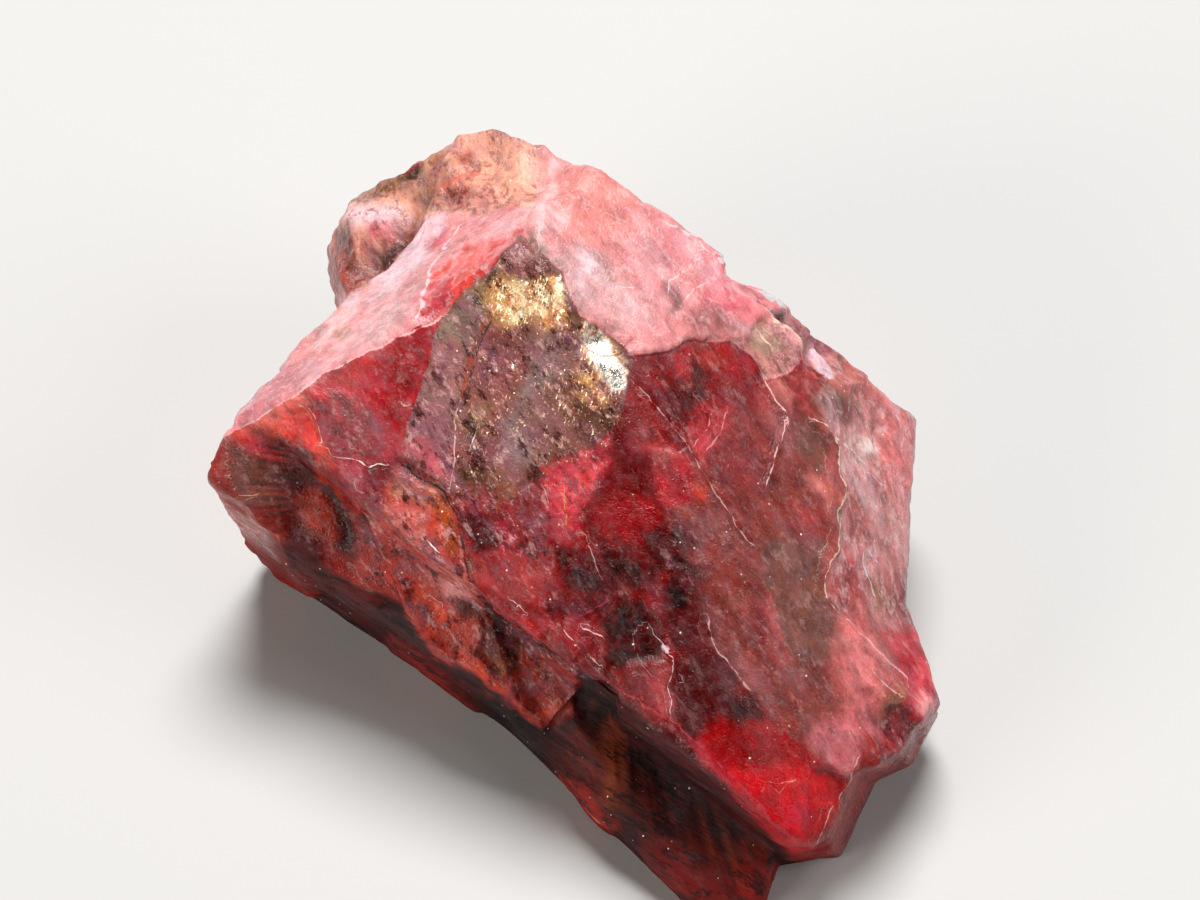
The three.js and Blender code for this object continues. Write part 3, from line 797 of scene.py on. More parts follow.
# %% Zones of the veil and the right face
VEIL = [
    ("veil, mauve brown", "mauve brown", 0.9, [(68, 60), (70, 65), (74.5, 67), (75.5, 62), (75, 57),
        (71, 55)]),
    ("veil, brown", "veil brown", 0.9, [(75.5, 66), (79, 68), (80.5, 63), (80.5, 57), (76, 57)]),
    ("veil, grey top", "veil grey", 0.7, [(80, 66.5), (83, 67.5), (84.5, 64.5), (84.5, 60.5), (82, 59.5),
        (80.5, 62)]),
    ("veil, pale", "dull pink", 0.7, [(81.5, 59.5), (84.5, 60), (86, 56.5), (85.5, 53.5), (83, 54),
        (81.5, 56.5)]),
    ("veil, red top", "rose brown", 0.5, [(79.5, 72), (80.5, 75), (83, 74), (83.5, 70.5), (82.5, 67.5),
        (80, 67), (80, 69.5)]),
    ("veil, dark top", "rose brown", 0.5, [(75, 71.5), (76.5, 71), (77, 68), (76, 66.5), (75, 68.5)]),
    ("veil, chip", "dull pink", 0.3, [(76, 72), (78, 72.5), (80, 70), (78.5, 66), (77, 69)]),
    ("veil, low brown", "veil brown", 0.7, [(70, 52), (73.5, 52), (75, 49), (74.5, 45.5), (71.5, 45),
        (69.5, 48.5)]),
    ("veil, rose spot", "rose brown", 0.9, [(79.5, 54.5), (83, 54.5), (84, 51), (80, 50.5)]),
    ("veil, grey", "veil grey", 0.9, [(74.5, 51), (77, 51), (79, 49.5), (84, 49.5), (84, 45), (82, 41),
        (76.5, 41.5), (74, 46)]),
    ("veil, green", "grey green", 0.8, [(75, 50), (77, 49.5), (77, 46), (75.5, 45)]),
    ("veil, pale band", "grey rose", 0.5, [(82.5, 67), (84, 66), (85, 63.5), (85.5, 61.5), (85, 60),
        (85.5, 58), (86, 57), (85.5, 54.5), (86, 52.5), (85.5, 50.5), (84.5, 47.5), (83.5, 44.5),
        (83, 45), (83.5, 49), (84, 53), (84.5, 57), (83.5, 60), (84, 63), (83, 65.5)]),
    ("speckle", "black maroon", 0.9, [(61.5, 52.5), (64, 53.5), (67, 51), (68, 47.5), (66, 44.5),
        (63, 44), (61.5, 46)]),
    ("speckle, grey", "grey mauve", 0.6, [(64, 48.5), (67.5, 50), (69, 47), (66, 45.5)]),
    ("speckle, black", "black", 0.4, [(62.5, 44.5), (64.5, 44), (65, 42), (63, 42)]),
    ("right face", "lilac", 0.3, [(84, 72), (86, 79), (92, 74), (100, 64), (99, 58), (98, 50), (98, 43),
        (99, 37), (92, 38), (88, 40), (85.5, 40), (83.5, 43), (84.5, 47.5), (86, 52.5), (86, 57),
        (85, 60), (85.5, 63), (84, 66), (83, 69)]),
    ("right face, dull top", "dull pink", 0.7, [(84.5, 75.5), (88, 76.5), (92, 72), (89.5, 69),
        (86, 71.5)]),
    ("right face, grey top", "veil grey", 0.6, [(83.5, 72), (86, 72), (89, 70), (89.5, 66.5), (87, 64.5),
        (85, 66), (83.5, 68.5)]),
    ("right face, dark", "dark mauve", 0.6, [(86, 69), (88.5, 69), (89, 67), (86.5, 66.5)]),
    ("right face, pink", "pink", 0.9, [(92.5, 69.5), (99, 64), (98, 58), (95, 54), (91.5, 57),
        (92, 63)]),
    ("right face, haze", "lilac", 0.9, [(85.5, 65), (88, 67.5), (92, 68), (93, 63), (90.5, 58),
        (87.5, 56), (86.5, 58.5), (87, 61.5)]),
    ("right face, white", "white", 0.7, [(88, 64), (91, 64), (92, 61.5), (89, 60.5)]),
    ("right face, low", "grey rose", 0.7, [(86.5, 56), (90, 57), (90, 50.5), (86, 50), (86, 53)]),
    ("right face, lilac", "lilac", 0.9, [(90, 56), (97, 55), (97, 45), (92, 45), (90.5, 50)]),
    ("right face, brown", "rose brown", 0.8, [(85, 49), (88.5, 49.5), (90, 45), (89.5, 40.5),
        (85.5, 40.5), (84.5, 44)]),
    ("right face, pale", "pale olive", 0.6, [(90.5, 44.5), (92.5, 43.5), (93, 40.5), (90.5, 40.5)]),
    ("right face, grey", "grey mauve", 0.7, [(93, 45), (97, 44), (98, 38), (94, 37), (93, 40)]),
    ("veil foot", "veil brown", 0.12, [(68, 42), (72, 44.5), (76, 44), (80, 42), (84, 43), (86, 40.5),
        (90, 41), (93, 36), (95, 31), (93.5, 28), (91, 25), (88, 23), (86, 19), (83.5, 21), (79.5, 24.5),
        (75.5, 27.5), (73.5, 30.5), (70.5, 34.5), (69, 37)]),
    ("veil foot, brown", "veil brown", 0.7, [(68.5, 41), (70, 44), (75, 43.5), (75.5, 38), (75.5, 33),
        (74, 30.5), (71.5, 33.5), (69.5, 37)]),
    ("veil foot, grey", "veil grey", 0.8, [(76.5, 44), (80, 45), (83.5, 43), (85, 38.5), (84.5, 35),
        (81, 33.5), (78.5, 36), (77, 40)]),
    ("veil foot, low brown", "veil brown", 0.8, [(75.5, 33), (80, 33.5), (84.5, 34), (85.5, 30),
        (84, 26.5), (80, 25), (76.5, 27.5), (74.5, 30)]),
    ("veil foot, red wedge", "dark crimson", 0.3, [(74, 38.5), (74.5, 41.5), (75.5, 41), (75.5, 38),
        (75, 36.5)]),
    ("veil foot, brown streak", "rose brown", 0.5, [(74.5, 44), (76.5, 42.5), (78, 38.5), (79, 34),
        (78, 32.5), (76.5, 36), (75.5, 40)]),
    ("veil foot, pink", "pink", 0.9, [(85, 40), (88, 41), (91, 38), (94, 32), (93.5, 30), (91, 27),
        (87, 26), (85.5, 30), (85, 35)]),
    ("veil foot, end", "mauve pink", 0.6, [(80.5, 24.5), (84, 27), (89, 27.5), (91, 25.5), (88.5, 22.5),
        (86.5, 19.5), (85.5, 18.5), (83.5, 20.5)]),
    ("veil foot, tan", "tan", 0.5, [(91, 27), (92, 30), (93.5, 31.5), (94.5, 30), (93.5, 27),
        (91.5, 25.5)]),
    ("lobe", "rose", 0.5, [(92.5, 37.5), (98, 38.5), (101, 32), (101, 27), (96.5, 25.5), (94.5, 27),
        (94.5, 30.5), (93, 33.5)]),
    ("lobe, bright", "hot pink", 0.6, [(96, 34), (100, 33), (100, 29), (96.5, 29)]),
    ("lobe, pale edge", "pale pink", 0.3, [(96.5, 29), (98.5, 29), (99, 27.5), (97, 27)]),
    ("lobe, side", "brick", 0.4, [(88.5, 23), (91, 24.5), (93, 20), (90, 15), (86, 11), (84, 13),
        (86, 18.5)]),
    ("lobe, brown chip", "mauve brown", 0.3, [(92, 28), (94, 28.5), (96.5, 27), (98, 22), (94, 19),
        (91, 21), (90.5, 24.5)]),
    ("lobe, red facet", "crimson", 0.25, [(92.5, 24), (95, 24), (96, 22), (94, 20), (92.5, 21.5)]),
]
print("zones:", len(VEIL))

# %% [markdown]
# One parting has a film that glitters bronze. A strip at its left lies a layer
# higher, a silky grey band runs down its middle, and its top corner is gold, partly
# the film and partly a painted sheen. At its right corner a white highlight is
# painted where a small facet mirrors the key lamp.

# %% Zones of the bronze film
BRONZE_FILM = [
    ("bronze film", "bronze", 0.1, [(42.5, 91.5), (45, 90), (47.5, 86.5), (49.5, 83), (51, 80),
        (53.5, 78.5), (56, 77), (57.5, 75.5), (58, 74), (57.5, 71.5), (57, 70), (56.5, 68), (55.5, 65.5),
        (52, 63), (47, 61), (43, 58), (38, 57), (33.5, 56.5), (30.5, 59), (27.5, 61.5), (27.5, 64),
        (29, 68.5), (30.5, 73), (31.5, 78), (32.5, 80), (35, 83.5), (38, 86), (40, 88.5)]),
    ("bronze, apex", "mauve brown", 0.5, [(42.5, 91.5), (45, 90), (47.5, 86.5), (46, 85.5), (42, 85.5),
        (40, 86.5), (40.5, 89)]),
    ("bronze, apex olive", "olive", 0.5, [(36, 83.5), (39.5, 87.5), (40.5, 85.5), (39.5, 81), (37, 81)]),
    ("bronze, brown", "mauve brown", 0.7, [(38, 79.5), (41, 79.5), (43.5, 78.5), (44, 74.5), (42.5, 71),
        (38, 69.5), (36, 71), (37, 75)]),
    ("bronze, mottle", "mauve brown", 0.8, [(35.5, 69.5), (40, 70), (41, 65), (40, 59), (36, 59),
        (34.5, 63)]),
    ("bronze, olive spot", "olive", 0.7, [(36, 68), (38.5, 68.5), (38, 65.5), (36, 65.5)]),
    ("bronze, mauve spot", "dark mauve", 0.4, [(36.5, 64), (38, 64), (38, 62), (36.5, 62)]),
    ("bronze, dark foot", "dark brown", 0.5, [(33.5, 59.5), (36.5, 60), (39.5, 59.5), (39, 57),
        (35, 57)]),
    ("bronze, silky", "grey mauve", 0.7, [(46, 79.5), (49, 78), (49.5, 75.5), (47.5, 72.5), (46, 69),
        (45, 65), (45, 61), (42, 59.5), (40, 60.5), (40, 64), (41, 67), (42.5, 70.5), (44, 74),
        (45, 77)]),
    ("bronze, silky pale", "silky grey", 0.6, [(42, 69.5), (43.5, 72.5), (45.5, 76), (46.5, 74),
        (45, 70), (43.5, 68)]),
    ("bronze, silky foot", "silky grey", 0.7, [(40.5, 65), (43, 66.5), (44.5, 63), (42.5, 60.5),
        (40.5, 61)]),
    ("bronze, left strip", "grey mauve", 0.15, [(32.5, 80), (36, 83.5), (38, 80), (37, 77.5), (36.5, 74),
        (35.5, 70.5), (34.5, 67.5), (34, 64), (34, 60.5), (33.5, 56.5), (30.5, 59), (27.5, 61.5),
        (27.5, 64), (29, 68.5), (30.5, 73), (31.5, 78)]),
    ("bronze, strip top", "olive grey", 0.6, [(32.5, 80), (34.5, 82), (36, 79), (35, 76.5), (32.5, 76),
        (31.5, 78)]),
    ("bronze, strip rose", "grey rose", 0.7, [(31, 75.5), (34, 76.5), (36, 74.5), (35, 71), (31, 70.5)]),
    ("bronze, strip mauve", "mauve", 0.7, [(29, 69), (34.5, 69), (34, 63.5), (28.5, 62.5), (28, 65)]),
    ("bronze, strip foot", "rose", 0.6, [(27.5, 62), (30.5, 63), (34, 62.5), (33.5, 57), (31, 58.5)]),
    ("bronze, strip rust", "rust", 0.2, [(36, 75), (37, 75), (36, 72.5), (35.5, 70.5), (35, 71),
        (35.5, 72.5)]),
    # partly painted sheen: the gold band and its pale cores stand for the key lamp's reflection on the
    # gold film
    ("bronze, gold band and sheen", "gold", 0.5, [(38.5, 83), (40, 86), (42.5, 85.5), (45, 85), (47.5, 85.5),
        (49.5, 82.5), (49.5, 79), (46.5, 78), (43.5, 79), (40, 79.5), (38.5, 80)]),
    ("bronze, core one", "pale gold sheen", 0.4, [(41, 83), (41.5, 85), (44, 85), (43, 82)]),
    ("bronze, core two", "pale gold sheen", 0.4, [(40, 81.5), (43, 81.5), (46.5, 83), (46, 80), (42, 80)]),
    ("bronze, core three", "pale gold sheen", 0.3, [(47, 84.5), (48.5, 84.5), (49, 82.5), (47.5, 82)]),
    ("bronze, brown gap", "brown", 0.4, [(45, 86.5), (47.5, 86.5), (50.5, 82), (51, 80), (50, 81),
        (48.5, 84)]),
    ("bronze, right sparks", "gold", 0.8, [(50.5, 77.5), (51.5, 77), (54, 72), (56, 69.5), (54, 68),
        (51, 70), (50, 74)]),
    ("bronze, low sparks", "brown", 0.7, [(49, 69.5), (54, 69), (57, 69), (57, 65.5), (50, 64)]),
    ("bronze, tan corner", "tan", 0.4, [(52, 79.5), (54, 78.5), (57.5, 75.5), (56.5, 74.5), (54, 77)]),
    # painted highlight: white where the facet at the film's corner mirrors the key lamp
    ("bronze, painted highlight", "white", 0.12, [(51.5, 79.5), (50.5, 77), (52.5, 73.5), (54.5, 71.5),
        (55, 70.5), (57, 70.5), (57.5, 73), (55.5, 75), (54.5, 77), (53, 78.5)]),
]
print("zones:", len(BRONZE_FILM))

# %% [markdown]
# The knob is a coarser, peach-coloured lump with brown hollows and an olive
# crust.

# %% Zones of the knob
KNOB = [
    ("knob", "peach", 0.4, [(12, 82), (14, 99), (20, 103), (26, 107), (31, 111), (38, 112), (43, 110),
        (50, 106), (51, 98), (46, 91), (40, 91), (34, 90), (28, 88), (24, 84), (20, 81)]),
    ("knob, top", "peach", 0.6, [(33, 110), (38, 110), (41, 108), (42, 105.5), (40, 104), (36, 105)]),
    ("knob, pale top", "cream", 0.5, [(40.5, 108), (44, 107.5), (44.5, 105.5), (41, 105.5)]),
    ("knob, right grey", "grey rose", 0.7, [(44.5, 106), (49, 104.5), (50, 102), (46, 102)]),
    ("knob, tan wash", "tan", 0.9, [(27, 104), (32, 104), (34, 99), (31, 95.5), (28, 96), (26, 100)]),
    ("knob, right wash", "peach", 0.8, [(40, 102.5), (44, 102.5), (45, 98), (43, 96), (40, 98)]),
    ("knob, brick spot", "brick", 0.4, [(33, 104.5), (36, 104), (36, 102.5), (33.5, 102.5)]),
    ("knob, brown fleck", "brown", 0.3, [(32, 107.5), (33, 107.5), (33, 105.5), (32, 106)]),
    ("knob, rose stripe", "rose brown", 0.4, [(29.5, 100), (30.5, 103.5), (31.5, 103), (31, 100.5)]),
    ("knob, hollow", "rose brown", 0.6, [(30.5, 97), (31, 99.5), (33.5, 101), (35, 99.5), (34.5, 96.5),
        (32, 96)]),
    ("knob, hollow dark", "brown", 0.4, [(32, 99.5), (33.5, 100), (33.5, 97.5), (32, 97)]),
    ("knob, dull pink", "dull pink", 0.7, [(35, 99.5), (37.5, 100), (39.5, 97), (37, 96), (35, 97)]),
    ("knob, olive strip", "olive", 0.5, [(16, 99), (19, 101), (22, 102.5), (26, 105.5), (31, 108.5),
        (31, 105.5), (27.5, 103), (25, 100.5), (21, 98.5), (17.5, 97)]),
    ("knob, black spot", "dark olive", 0.4, [(25, 101.5), (26, 103.5), (28, 104), (28.5, 102.5),
        (27, 101)]),
    ("knob, dark spot", "dark brown", 0.4, [(27.5, 97), (28, 98.5), (29.5, 98.5), (29.5, 97),
        (28.5, 96)]),
    ("knob, pale face", "lilac white", 0.7, [(17.5, 96.5), (21, 98), (25.5, 97.5), (26, 94.5),
        (21, 94.5), (18, 93)]),
    ("knob, rose", "rose", 0.5, [(21.5, 95), (24.5, 95), (24.5, 92.5), (22, 91.5)]),
    ("knob, maroon side", "maroon", 0.5, [(15, 95.5), (17.5, 94.5), (18.5, 92.5), (20, 89), (20.5, 86.5),
        (19, 85), (17, 88), (14, 91)]),
    ("knob, rose fleck", "rose brown", 0.3, [(20, 92), (21.5, 91.5), (21.5, 89.5), (20.5, 89)]),
    ("knob, red side", "brick", 0.4, [(12, 91), (16, 91), (17.5, 88), (19, 85.5), (20, 84.5), (16, 82),
        (12, 83)]),
    ("knob, dark valley", "black maroon", 0.4, [(26.5, 93.5), (25.5, 91), (24, 89), (23, 87), (22, 86),
        (20.5, 85.5), (21, 88), (22, 90), (23.5, 92), (25, 94)]),
    ("knob, brown valley", "brown", 0.5, [(25, 94), (27, 95.5), (28.5, 95), (27, 93), (25.5, 91.5)]),
]
print("zones:", len(KNOB))

# %% [markdown]
# The ledge is milky pink with lilac and white patches. It ends in a red patch
# beside the film.

# %% Zones of the ledge
LEDGE = [
    ("ledge", "pink", 0.25, [(-1, 61), (4, 69), (9, 74), (11, 78), (14, 82), (17, 84.5), (20.5, 84.5),
        (22.5, 86), (24, 88), (25, 90), (26.5, 93), (28.5, 94.5), (31.5, 95.5), (36, 95.5), (42, 95.5),
        (47, 96), (46, 91), (43, 91.5), (41, 89.5), (38, 86), (35, 83.5), (32.5, 80), (30, 79.5),
        (28, 78), (25, 76.5), (22, 75.5), (19.5, 74.5), (17, 73), (15, 71.5), (13, 70), (10.5, 69),
        (8, 67.5), (5, 65.5), (2, 63.5)]),
    ("ledge, pale upper", "lilac white", 0.7, [(22.5, 85.5), (25, 89.5), (28, 94), (31, 95), (32, 92),
        (29.5, 88.5), (26, 85.5), (23, 82)]),
    ("ledge, rose inner", "rose", 0.5, [(30, 92.5), (32, 93), (32.5, 91), (31, 89.5), (30, 90.5)]),
    ("ledge, rose upper", "hot pink", 0.6, [(36, 95), (40.5, 95), (41, 93.5), (37, 93)]),
    ("ledge, lilac", "lilac", 0.9, [(21, 77.5), (24, 81), (26.5, 85), (29, 87.5), (30, 86), (28.5, 83),
        (28, 79.5), (25, 77.5)]),
    ("ledge, pale pink", "pale pink", 0.7, [(14.5, 80), (17, 81), (20.5, 83.5), (24, 88), (22.5, 84),
        (20, 79.5), (18, 77), (15, 77)]),
    ("ledge, grey spot", "grey rose", 0.4, [(14, 79), (15.5, 80), (16, 78), (14.5, 77)]),
    ("ledge, tan spot", "tan", 0.4, [(17.5, 79), (19, 79), (19, 78), (17.5, 78)]),
    ("ledge, lower mauve", "mauve pink", 0.8, [(0, 62), (4, 68), (9, 73.5), (13, 75.5), (16, 74),
        (15, 71.5), (12, 69.5), (8, 67.5), (4, 65)]),
    ("ledge, white corner", "lilac white", 0.5, [(17.5, 83.5), (20, 84), (20.5, 82.5), (18, 81)]),
    ("ledge, red patch", "coral", 0.1, [(43, 92.5), (40.5, 92), (38, 91), (35, 90.5), (33, 88.5),
        (30.5, 86.5), (29.5, 83), (29, 80.5), (31, 80), (33, 81), (35.5, 83), (38, 85.5), (40, 88.5),
        (42, 90.5)]),
    ("ledge, crimson", "rose crimson", 0.6, [(29, 83), (31, 85), (34, 86.5), (34, 83.5), (31.5, 80.5),
        (29, 80.5)]),
    ("ledge, scarlet", "scarlet", 0.4, [(43, 92.5), (41.5, 90), (38.5, 86), (36, 83.5), (34, 82),
        (35, 85), (38, 88.5), (40.5, 91.5)]),
]
print("zones:", len(LEDGE))

# %% [markdown]
# The crown is the palest stone, pink under a lilac haze. The shoulder at its
# right is flaky.

# %% Zones of the shoulder and the crown
CROWN = [
    ("shoulder", "dull pink", 0.3, [(68, 77), (71, 76.5), (73.5, 75), (75.5, 72.5), (78.5, 72.5),
        (80.5, 74.5), (82.5, 74), (84.5, 72), (86.5, 73.5), (90, 77), (86, 82), (80, 88), (74, 86),
        (70, 82)]),
    ("shoulder, olive", "pale olive", 0.6, [(73, 80), (76, 80.5), (77.5, 77), (76, 74.5), (73.5, 76)]),
    ("shoulder, mauve", "mauve", 0.5, [(80.5, 80), (84, 79), (87, 77), (84, 75.5), (82, 76.5)]),
    ("shoulder, rose", "deep rose", 0.5, [(79.5, 76), (82, 76), (82.5, 74), (80.5, 73.5), (79.5, 74.5)]),
    ("shoulder, pale", "pale pink", 0.35, [(77, 80.5), (79, 79.5), (81, 76.5), (80, 76), (77.5, 78.5)]),
    ("shoulder, dark", "dark mauve", 0.3, [(76, 82.5), (79, 80.5), (81, 78.5), (80, 78), (77.5, 80)]),
    ("shoulder, white", "lilac white", 0.25, [(82, 76.5), (83.5, 76.5), (85.5, 73.5), (85, 72),
        (83.5, 72.5), (83, 74.5)]),
    ("crown", "pink", 0.3, [(43, 92.5), (45, 90), (47.5, 86.5), (49.5, 83), (51, 80), (53.5, 78.5),
        (56, 77), (57.5, 75.5), (60.5, 75.5), (63, 76), (65.5, 77.5), (68, 77.5), (71, 76.5), (73, 77),
        (75, 80), (79, 81), (81, 84), (72, 93), (64, 99), (56, 105), (50, 107), (45.5, 105), (46, 99),
        (45.5, 95.5), (44, 93.5)]),
    ("crown, salmon", "salmon pink", 0.9, [(46.5, 94.5), (47, 99), (52, 101), (57, 97), (58.5, 92.5),
        (54, 89.5), (49, 90.5)]),
    ("crown, pale left", "pale pink", 0.7, [(42.5, 95.5), (46, 97), (48, 93.5), (46.5, 91), (44, 92.5)]),
    ("crown, ridge", "pale pink", 0.5, [(45, 101), (47, 102), (47.5, 97), (46.5, 95), (45, 96)]),
    ("crown, film edge", "olive grey", 0.35, [(43.5, 92), (45.5, 91.5), (48, 88), (48.5, 85.5),
        (47, 86.5), (45, 89.5)]),
    ("crown, lilac haze", "lilac", 1.0, [(47, 88.5), (50, 90), (54, 88.5), (59, 85), (60.5, 80.5),
        (57, 77.5), (53.5, 79.5), (50.5, 82), (48.5, 85)]),
    ("crown, white haze", "lilac white", 0.9, [(50, 88), (52.5, 88), (53.5, 86), (51.5, 85), (50, 86)]),
    ("crown, pink foot", "pink", 0.7, [(56.5, 77.5), (58, 80.5), (61, 81), (63.5, 79), (63.5, 77),
        (60.5, 76), (58, 76)]),
    ("crown, mauve patch", "grey mauve", 0.5, [(61.5, 83), (63, 85), (64.5, 84), (64.5, 81.5),
        (62.5, 80.5)]),
    ("crown, mauve high", "mauve pink", 0.8, [(61.5, 93), (64.5, 92.5), (66, 89.5), (64, 87),
        (61.5, 88.5)]),
    ("crown, rose", "hot pink", 0.9, [(67, 87.5), (70, 88), (75.5, 83), (75.5, 80), (71, 79.5),
        (67.5, 81.5)]),
    ("crown, brown", "grey rose", 0.8, [(65, 80), (68, 81.5), (72, 79.5), (72.5, 77), (68, 77.5),
        (65.5, 78)]),
    ("crown, rust", "rust", 0.3, [(62.5, 95), (64, 95), (66.5, 92.5), (67.5, 91), (65.5, 92),
        (63, 93.5)]),
]
print("zones:", len(CROWN))

# %% [markdown]
# For each zone the depth inside its outline is worked out at every point of the
# skin. The relief, the paint and the gloss are all made from these depths. The
# softer a border is, the more it wanders.

# %% How deep each point lies in each zone
LOWER_ZONES = FRONT_WALL + KEEL + LEFT_CORNER + LEFT_PANEL + MID_BLOCK
LOWER_ZONES += BELOW_FILM + CRIMSON_FOOT + RED_EDGE + VEIL
UPPER_ZONES = KNOB + LEDGE + CROWN  # a layer above the rest
CRISP_SHIFT, SHIFT_PER_MM, MOST_SHIFT = 0.15, 1.9, 1.7  # times the wandering of the borders
depths = {}
for name, colour, border, outline in LOWER_ZONES + BRONZE_FILM + UPPER_ZONES:
    shift = min(MOST_SHIFT, CRISP_SHIFT + SHIFT_PER_MM * border)
    depths[name] = inside(places + shift * wander, outline)
print("zones in all:", len(depths))

# %% [markdown]
# Healed cracks, bruised edges and threads of crystal are lines, of a few points and
# a half width. Noise could make them by the hundred, but these few are the ones
# that catch the eye, so they are drawn one by one.

# %% Cracks, veins and edges
LINE_SHIFT = 0.45  # times the wandering of the borders
LINES = [  # name, colour, half width in mm, points in map units
    ("wedge crack", "lilac", 0.06, [(58.5, 71.5), (60, 70), (62, 67.5), (63.5, 65.5), (65, 63.5),
        (67, 60), (69, 56.5), (71, 53.5), (73.5, 50)]),
    ("feather, right", "pink", 0.07, [(70.5, 67.5), (69.5, 64.5), (68, 62.5)]),
    ("feather, left", "pink", 0.07, [(68.5, 67), (67.5, 64.5), (66, 63)]),
    ("riser", "pale pink", 0.08, [(78, 67.5), (78, 65), (76.5, 62), (75.5, 58)]),
    ("chip edge", "pale pink", 0.08, [(76, 72), (77, 69), (78.5, 66)]),
    ("cream edge", "cream", 0.1, [(82.5, 66.5), (84, 65.5), (85, 62), (85, 60), (86, 57), (85.5, 55),
        (85, 53)]),
    ("cream tail", "cream", 0.1, [(86, 53), (85, 50), (83.5, 45.5), (83.5, 43)]),
    ("foot vein", "pale pink", 0.06, [(83.5, 43), (85, 41), (88, 38.5), (91.5, 35), (95, 31.5)]),
    ("foot vein, end", "pale pink", 0.08, [(90, 33), (92, 31), (93.5, 29.5)]),
    ("right vein, top", "lilac white", 0.1, [(85.5, 64), (88, 62.5), (89.5, 60.5)]),
    ("right vein, middle", "lilac white", 0.07, [(90, 59), (92, 57.5)]),
    ("right vein, low", "lilac white", 0.09, [(89, 49), (90, 45), (91, 43)]),
    ("right vein, short", "lilac white", 0.06, [(90, 49), (91.5, 47)]),
    ("foot edge", "lilac", 0.09, [(68, 40), (68, 38), (69, 36), (71.5, 33), (73, 31)]),
    ("film step", "rust", 0.09, [(38, 80), (37, 77.5), (36, 73), (35, 69.5)]),
    ("film step, pale", "pale pink", 0.06, [(35, 69.5), (34.5, 66), (34, 63), (34, 61), (33.5, 57)]),
    ("film step, shade", "black maroon", 0.08, [(38.5, 79.5), (37.5, 76.5), (36.5, 72.5), (35.5, 68.5)]),
    ("film tick", "white", 0.08, [(37, 65), (36.5, 63.5)]),
    ("block crack", "black maroon", 0.13, [(27, 61), (29, 59.5), (33, 56.5), (34.5, 54), (35, 51),
        (35.5, 48), (36.5, 44.5)]),
    ("block tick", "pale olive", 0.08, [(36, 48), (36.5, 46.5)]),
    ("block scratch", "pale pink", 0.06, [(30.5, 42.5), (32, 41.5), (32, 41)]),
    ("block fleck", "white", 0.08, [(31.5, 50), (32, 49.5)]),
    ("panel crack", "white", 0.06, [(20, 61.5), (21.5, 61), (22.5, 60), (24, 60.5), (25, 60.5)]),
    ("panel crack, left", "lilac", 0.06, [(16, 63), (17, 63), (18, 61.5), (19.5, 61.5)]),
    ("panel crack, foot", "lilac", 0.06, [(21, 58), (21, 57), (22, 57)]),
    ("panel tick", "lilac", 0.05, [(27, 69.5), (27.5, 68.5), (28.5, 68.5)]),
    ("corner crack", "cream", 0.06, [(14, 70.5), (15, 68), (16, 66), (16.5, 63.5)]),
    ("olive edge", "cream", 0.06, [(3, 63), (4, 59), (5, 56), (6.5, 56.5), (7.5, 57)]),
    ("rim flecks, left", "pale pink", 0.06, [(42, 42.5), (43.5, 41)]),
    ("rim flecks", "pale pink", 0.07, [(49, 39), (50.5, 37)]),
    ("rim flecks, middle", "lilac white", 0.07, [(51.5, 39), (53.5, 38)]),
    ("rim flecks, right", "pale pink", 0.07, [(52.5, 35), (54, 34)]),
    ("rim edge", "rose crimson", 0.09, [(36.5, 43.5), (39, 41.5), (42, 40), (45, 38), (48, 35.5),
        (51, 34), (57, 30.5), (63, 26.5)]),
    ("triangle edge", "pale pink", 0.06, [(63, 36), (63, 33.5), (62.5, 31.5), (63, 27)]),
    ("triangle crystals", "lilac white", 0.25, [(61.5, 37), (62.5, 35.5)]),
    ("foot rim", "rose crimson", 0.1, [(64, 26), (68, 22.5), (72, 18.5), (76, 14.5), (79.5, 11)]),
    ("mottle thread", "lilac", 0.05, [(50.5, 52), (52, 51), (52.5, 48.5), (53.5, 46)]),
    ("magenta streak", "magenta", 0.08, [(51, 40.5), (54.5, 42.5)]),
    ("gold thread", "gold", 0.07, [(48.5, 57.5), (49, 52.5)]),
    ("rose thread", "lilac", 0.06, [(46, 57.5), (46.5, 55.5)]),
    ("ledge edge", "pale pink", 0.12, [(32, 80), (28, 78), (25, 76.5), (22, 75.5), (17, 73), (13, 70),
        (8, 67.5), (5, 65.5)]),
    ("ledge streak", "lilac white", 0.14, [(36, 94.5), (34, 93.5), (32.5, 91), (30.5, 87.5), (29.5, 84),
        (29, 80.5)]),
    ("flake line", "lilac white", 0.14, [(63, 92.5), (66, 90.5), (70.5, 87)]),
    ("blue flake, left", "blue white", 0.4, [(52.5, 102), (54.5, 101), (57, 99.5)]),
    ("blue flake, right", "blue white", 0.4, [(70, 88.5), (74, 85.5), (78, 82)]),
    ("shoulder groove", "black maroon", 0.14, [(75, 83), (78.5, 80.5), (81, 78.5)]),
    ("shoulder flake", "cream", 0.14, [(77, 80), (80, 77)]),
    ("shoulder tick", "cream", 0.1, [(75, 79), (76.5, 77)]),
    ("crown vein", "lilac white", 0.08, [(62.5, 83.5), (63, 85), (64.5, 86)]),
    ("crown vein, right", "lilac white", 0.07, [(65, 82.5), (67, 84.5)]),
    ("crown vein, top", "lilac white", 0.07, [(65.5, 87), (67, 88)]),
    ("crown vein, left", "lilac white", 0.07, [(56, 84), (58, 84)]),
    ("crown ridge", "pale pink", 0.25, [(46.5, 101), (46.5, 98), (46, 95.5), (45.5, 92)]),
    ("knob rim", "salmon", 0.25, [(31, 99.5), (34, 101), (36.5, 101)]),
    ("foot side rim", "dusty pink", 0.06, [(87.5, 22), (86, 18.5), (84, 15), (82, 10.5)]),
    ("foot flecks", "salmon pink", 0.07, [(75, 19), (77, 18.5), (79, 19)]),
    ("keel streak", "salmon", 0.14, [(50, 16.5), (54, 12)]),
]
shifted = places + LINE_SHIFT * wander
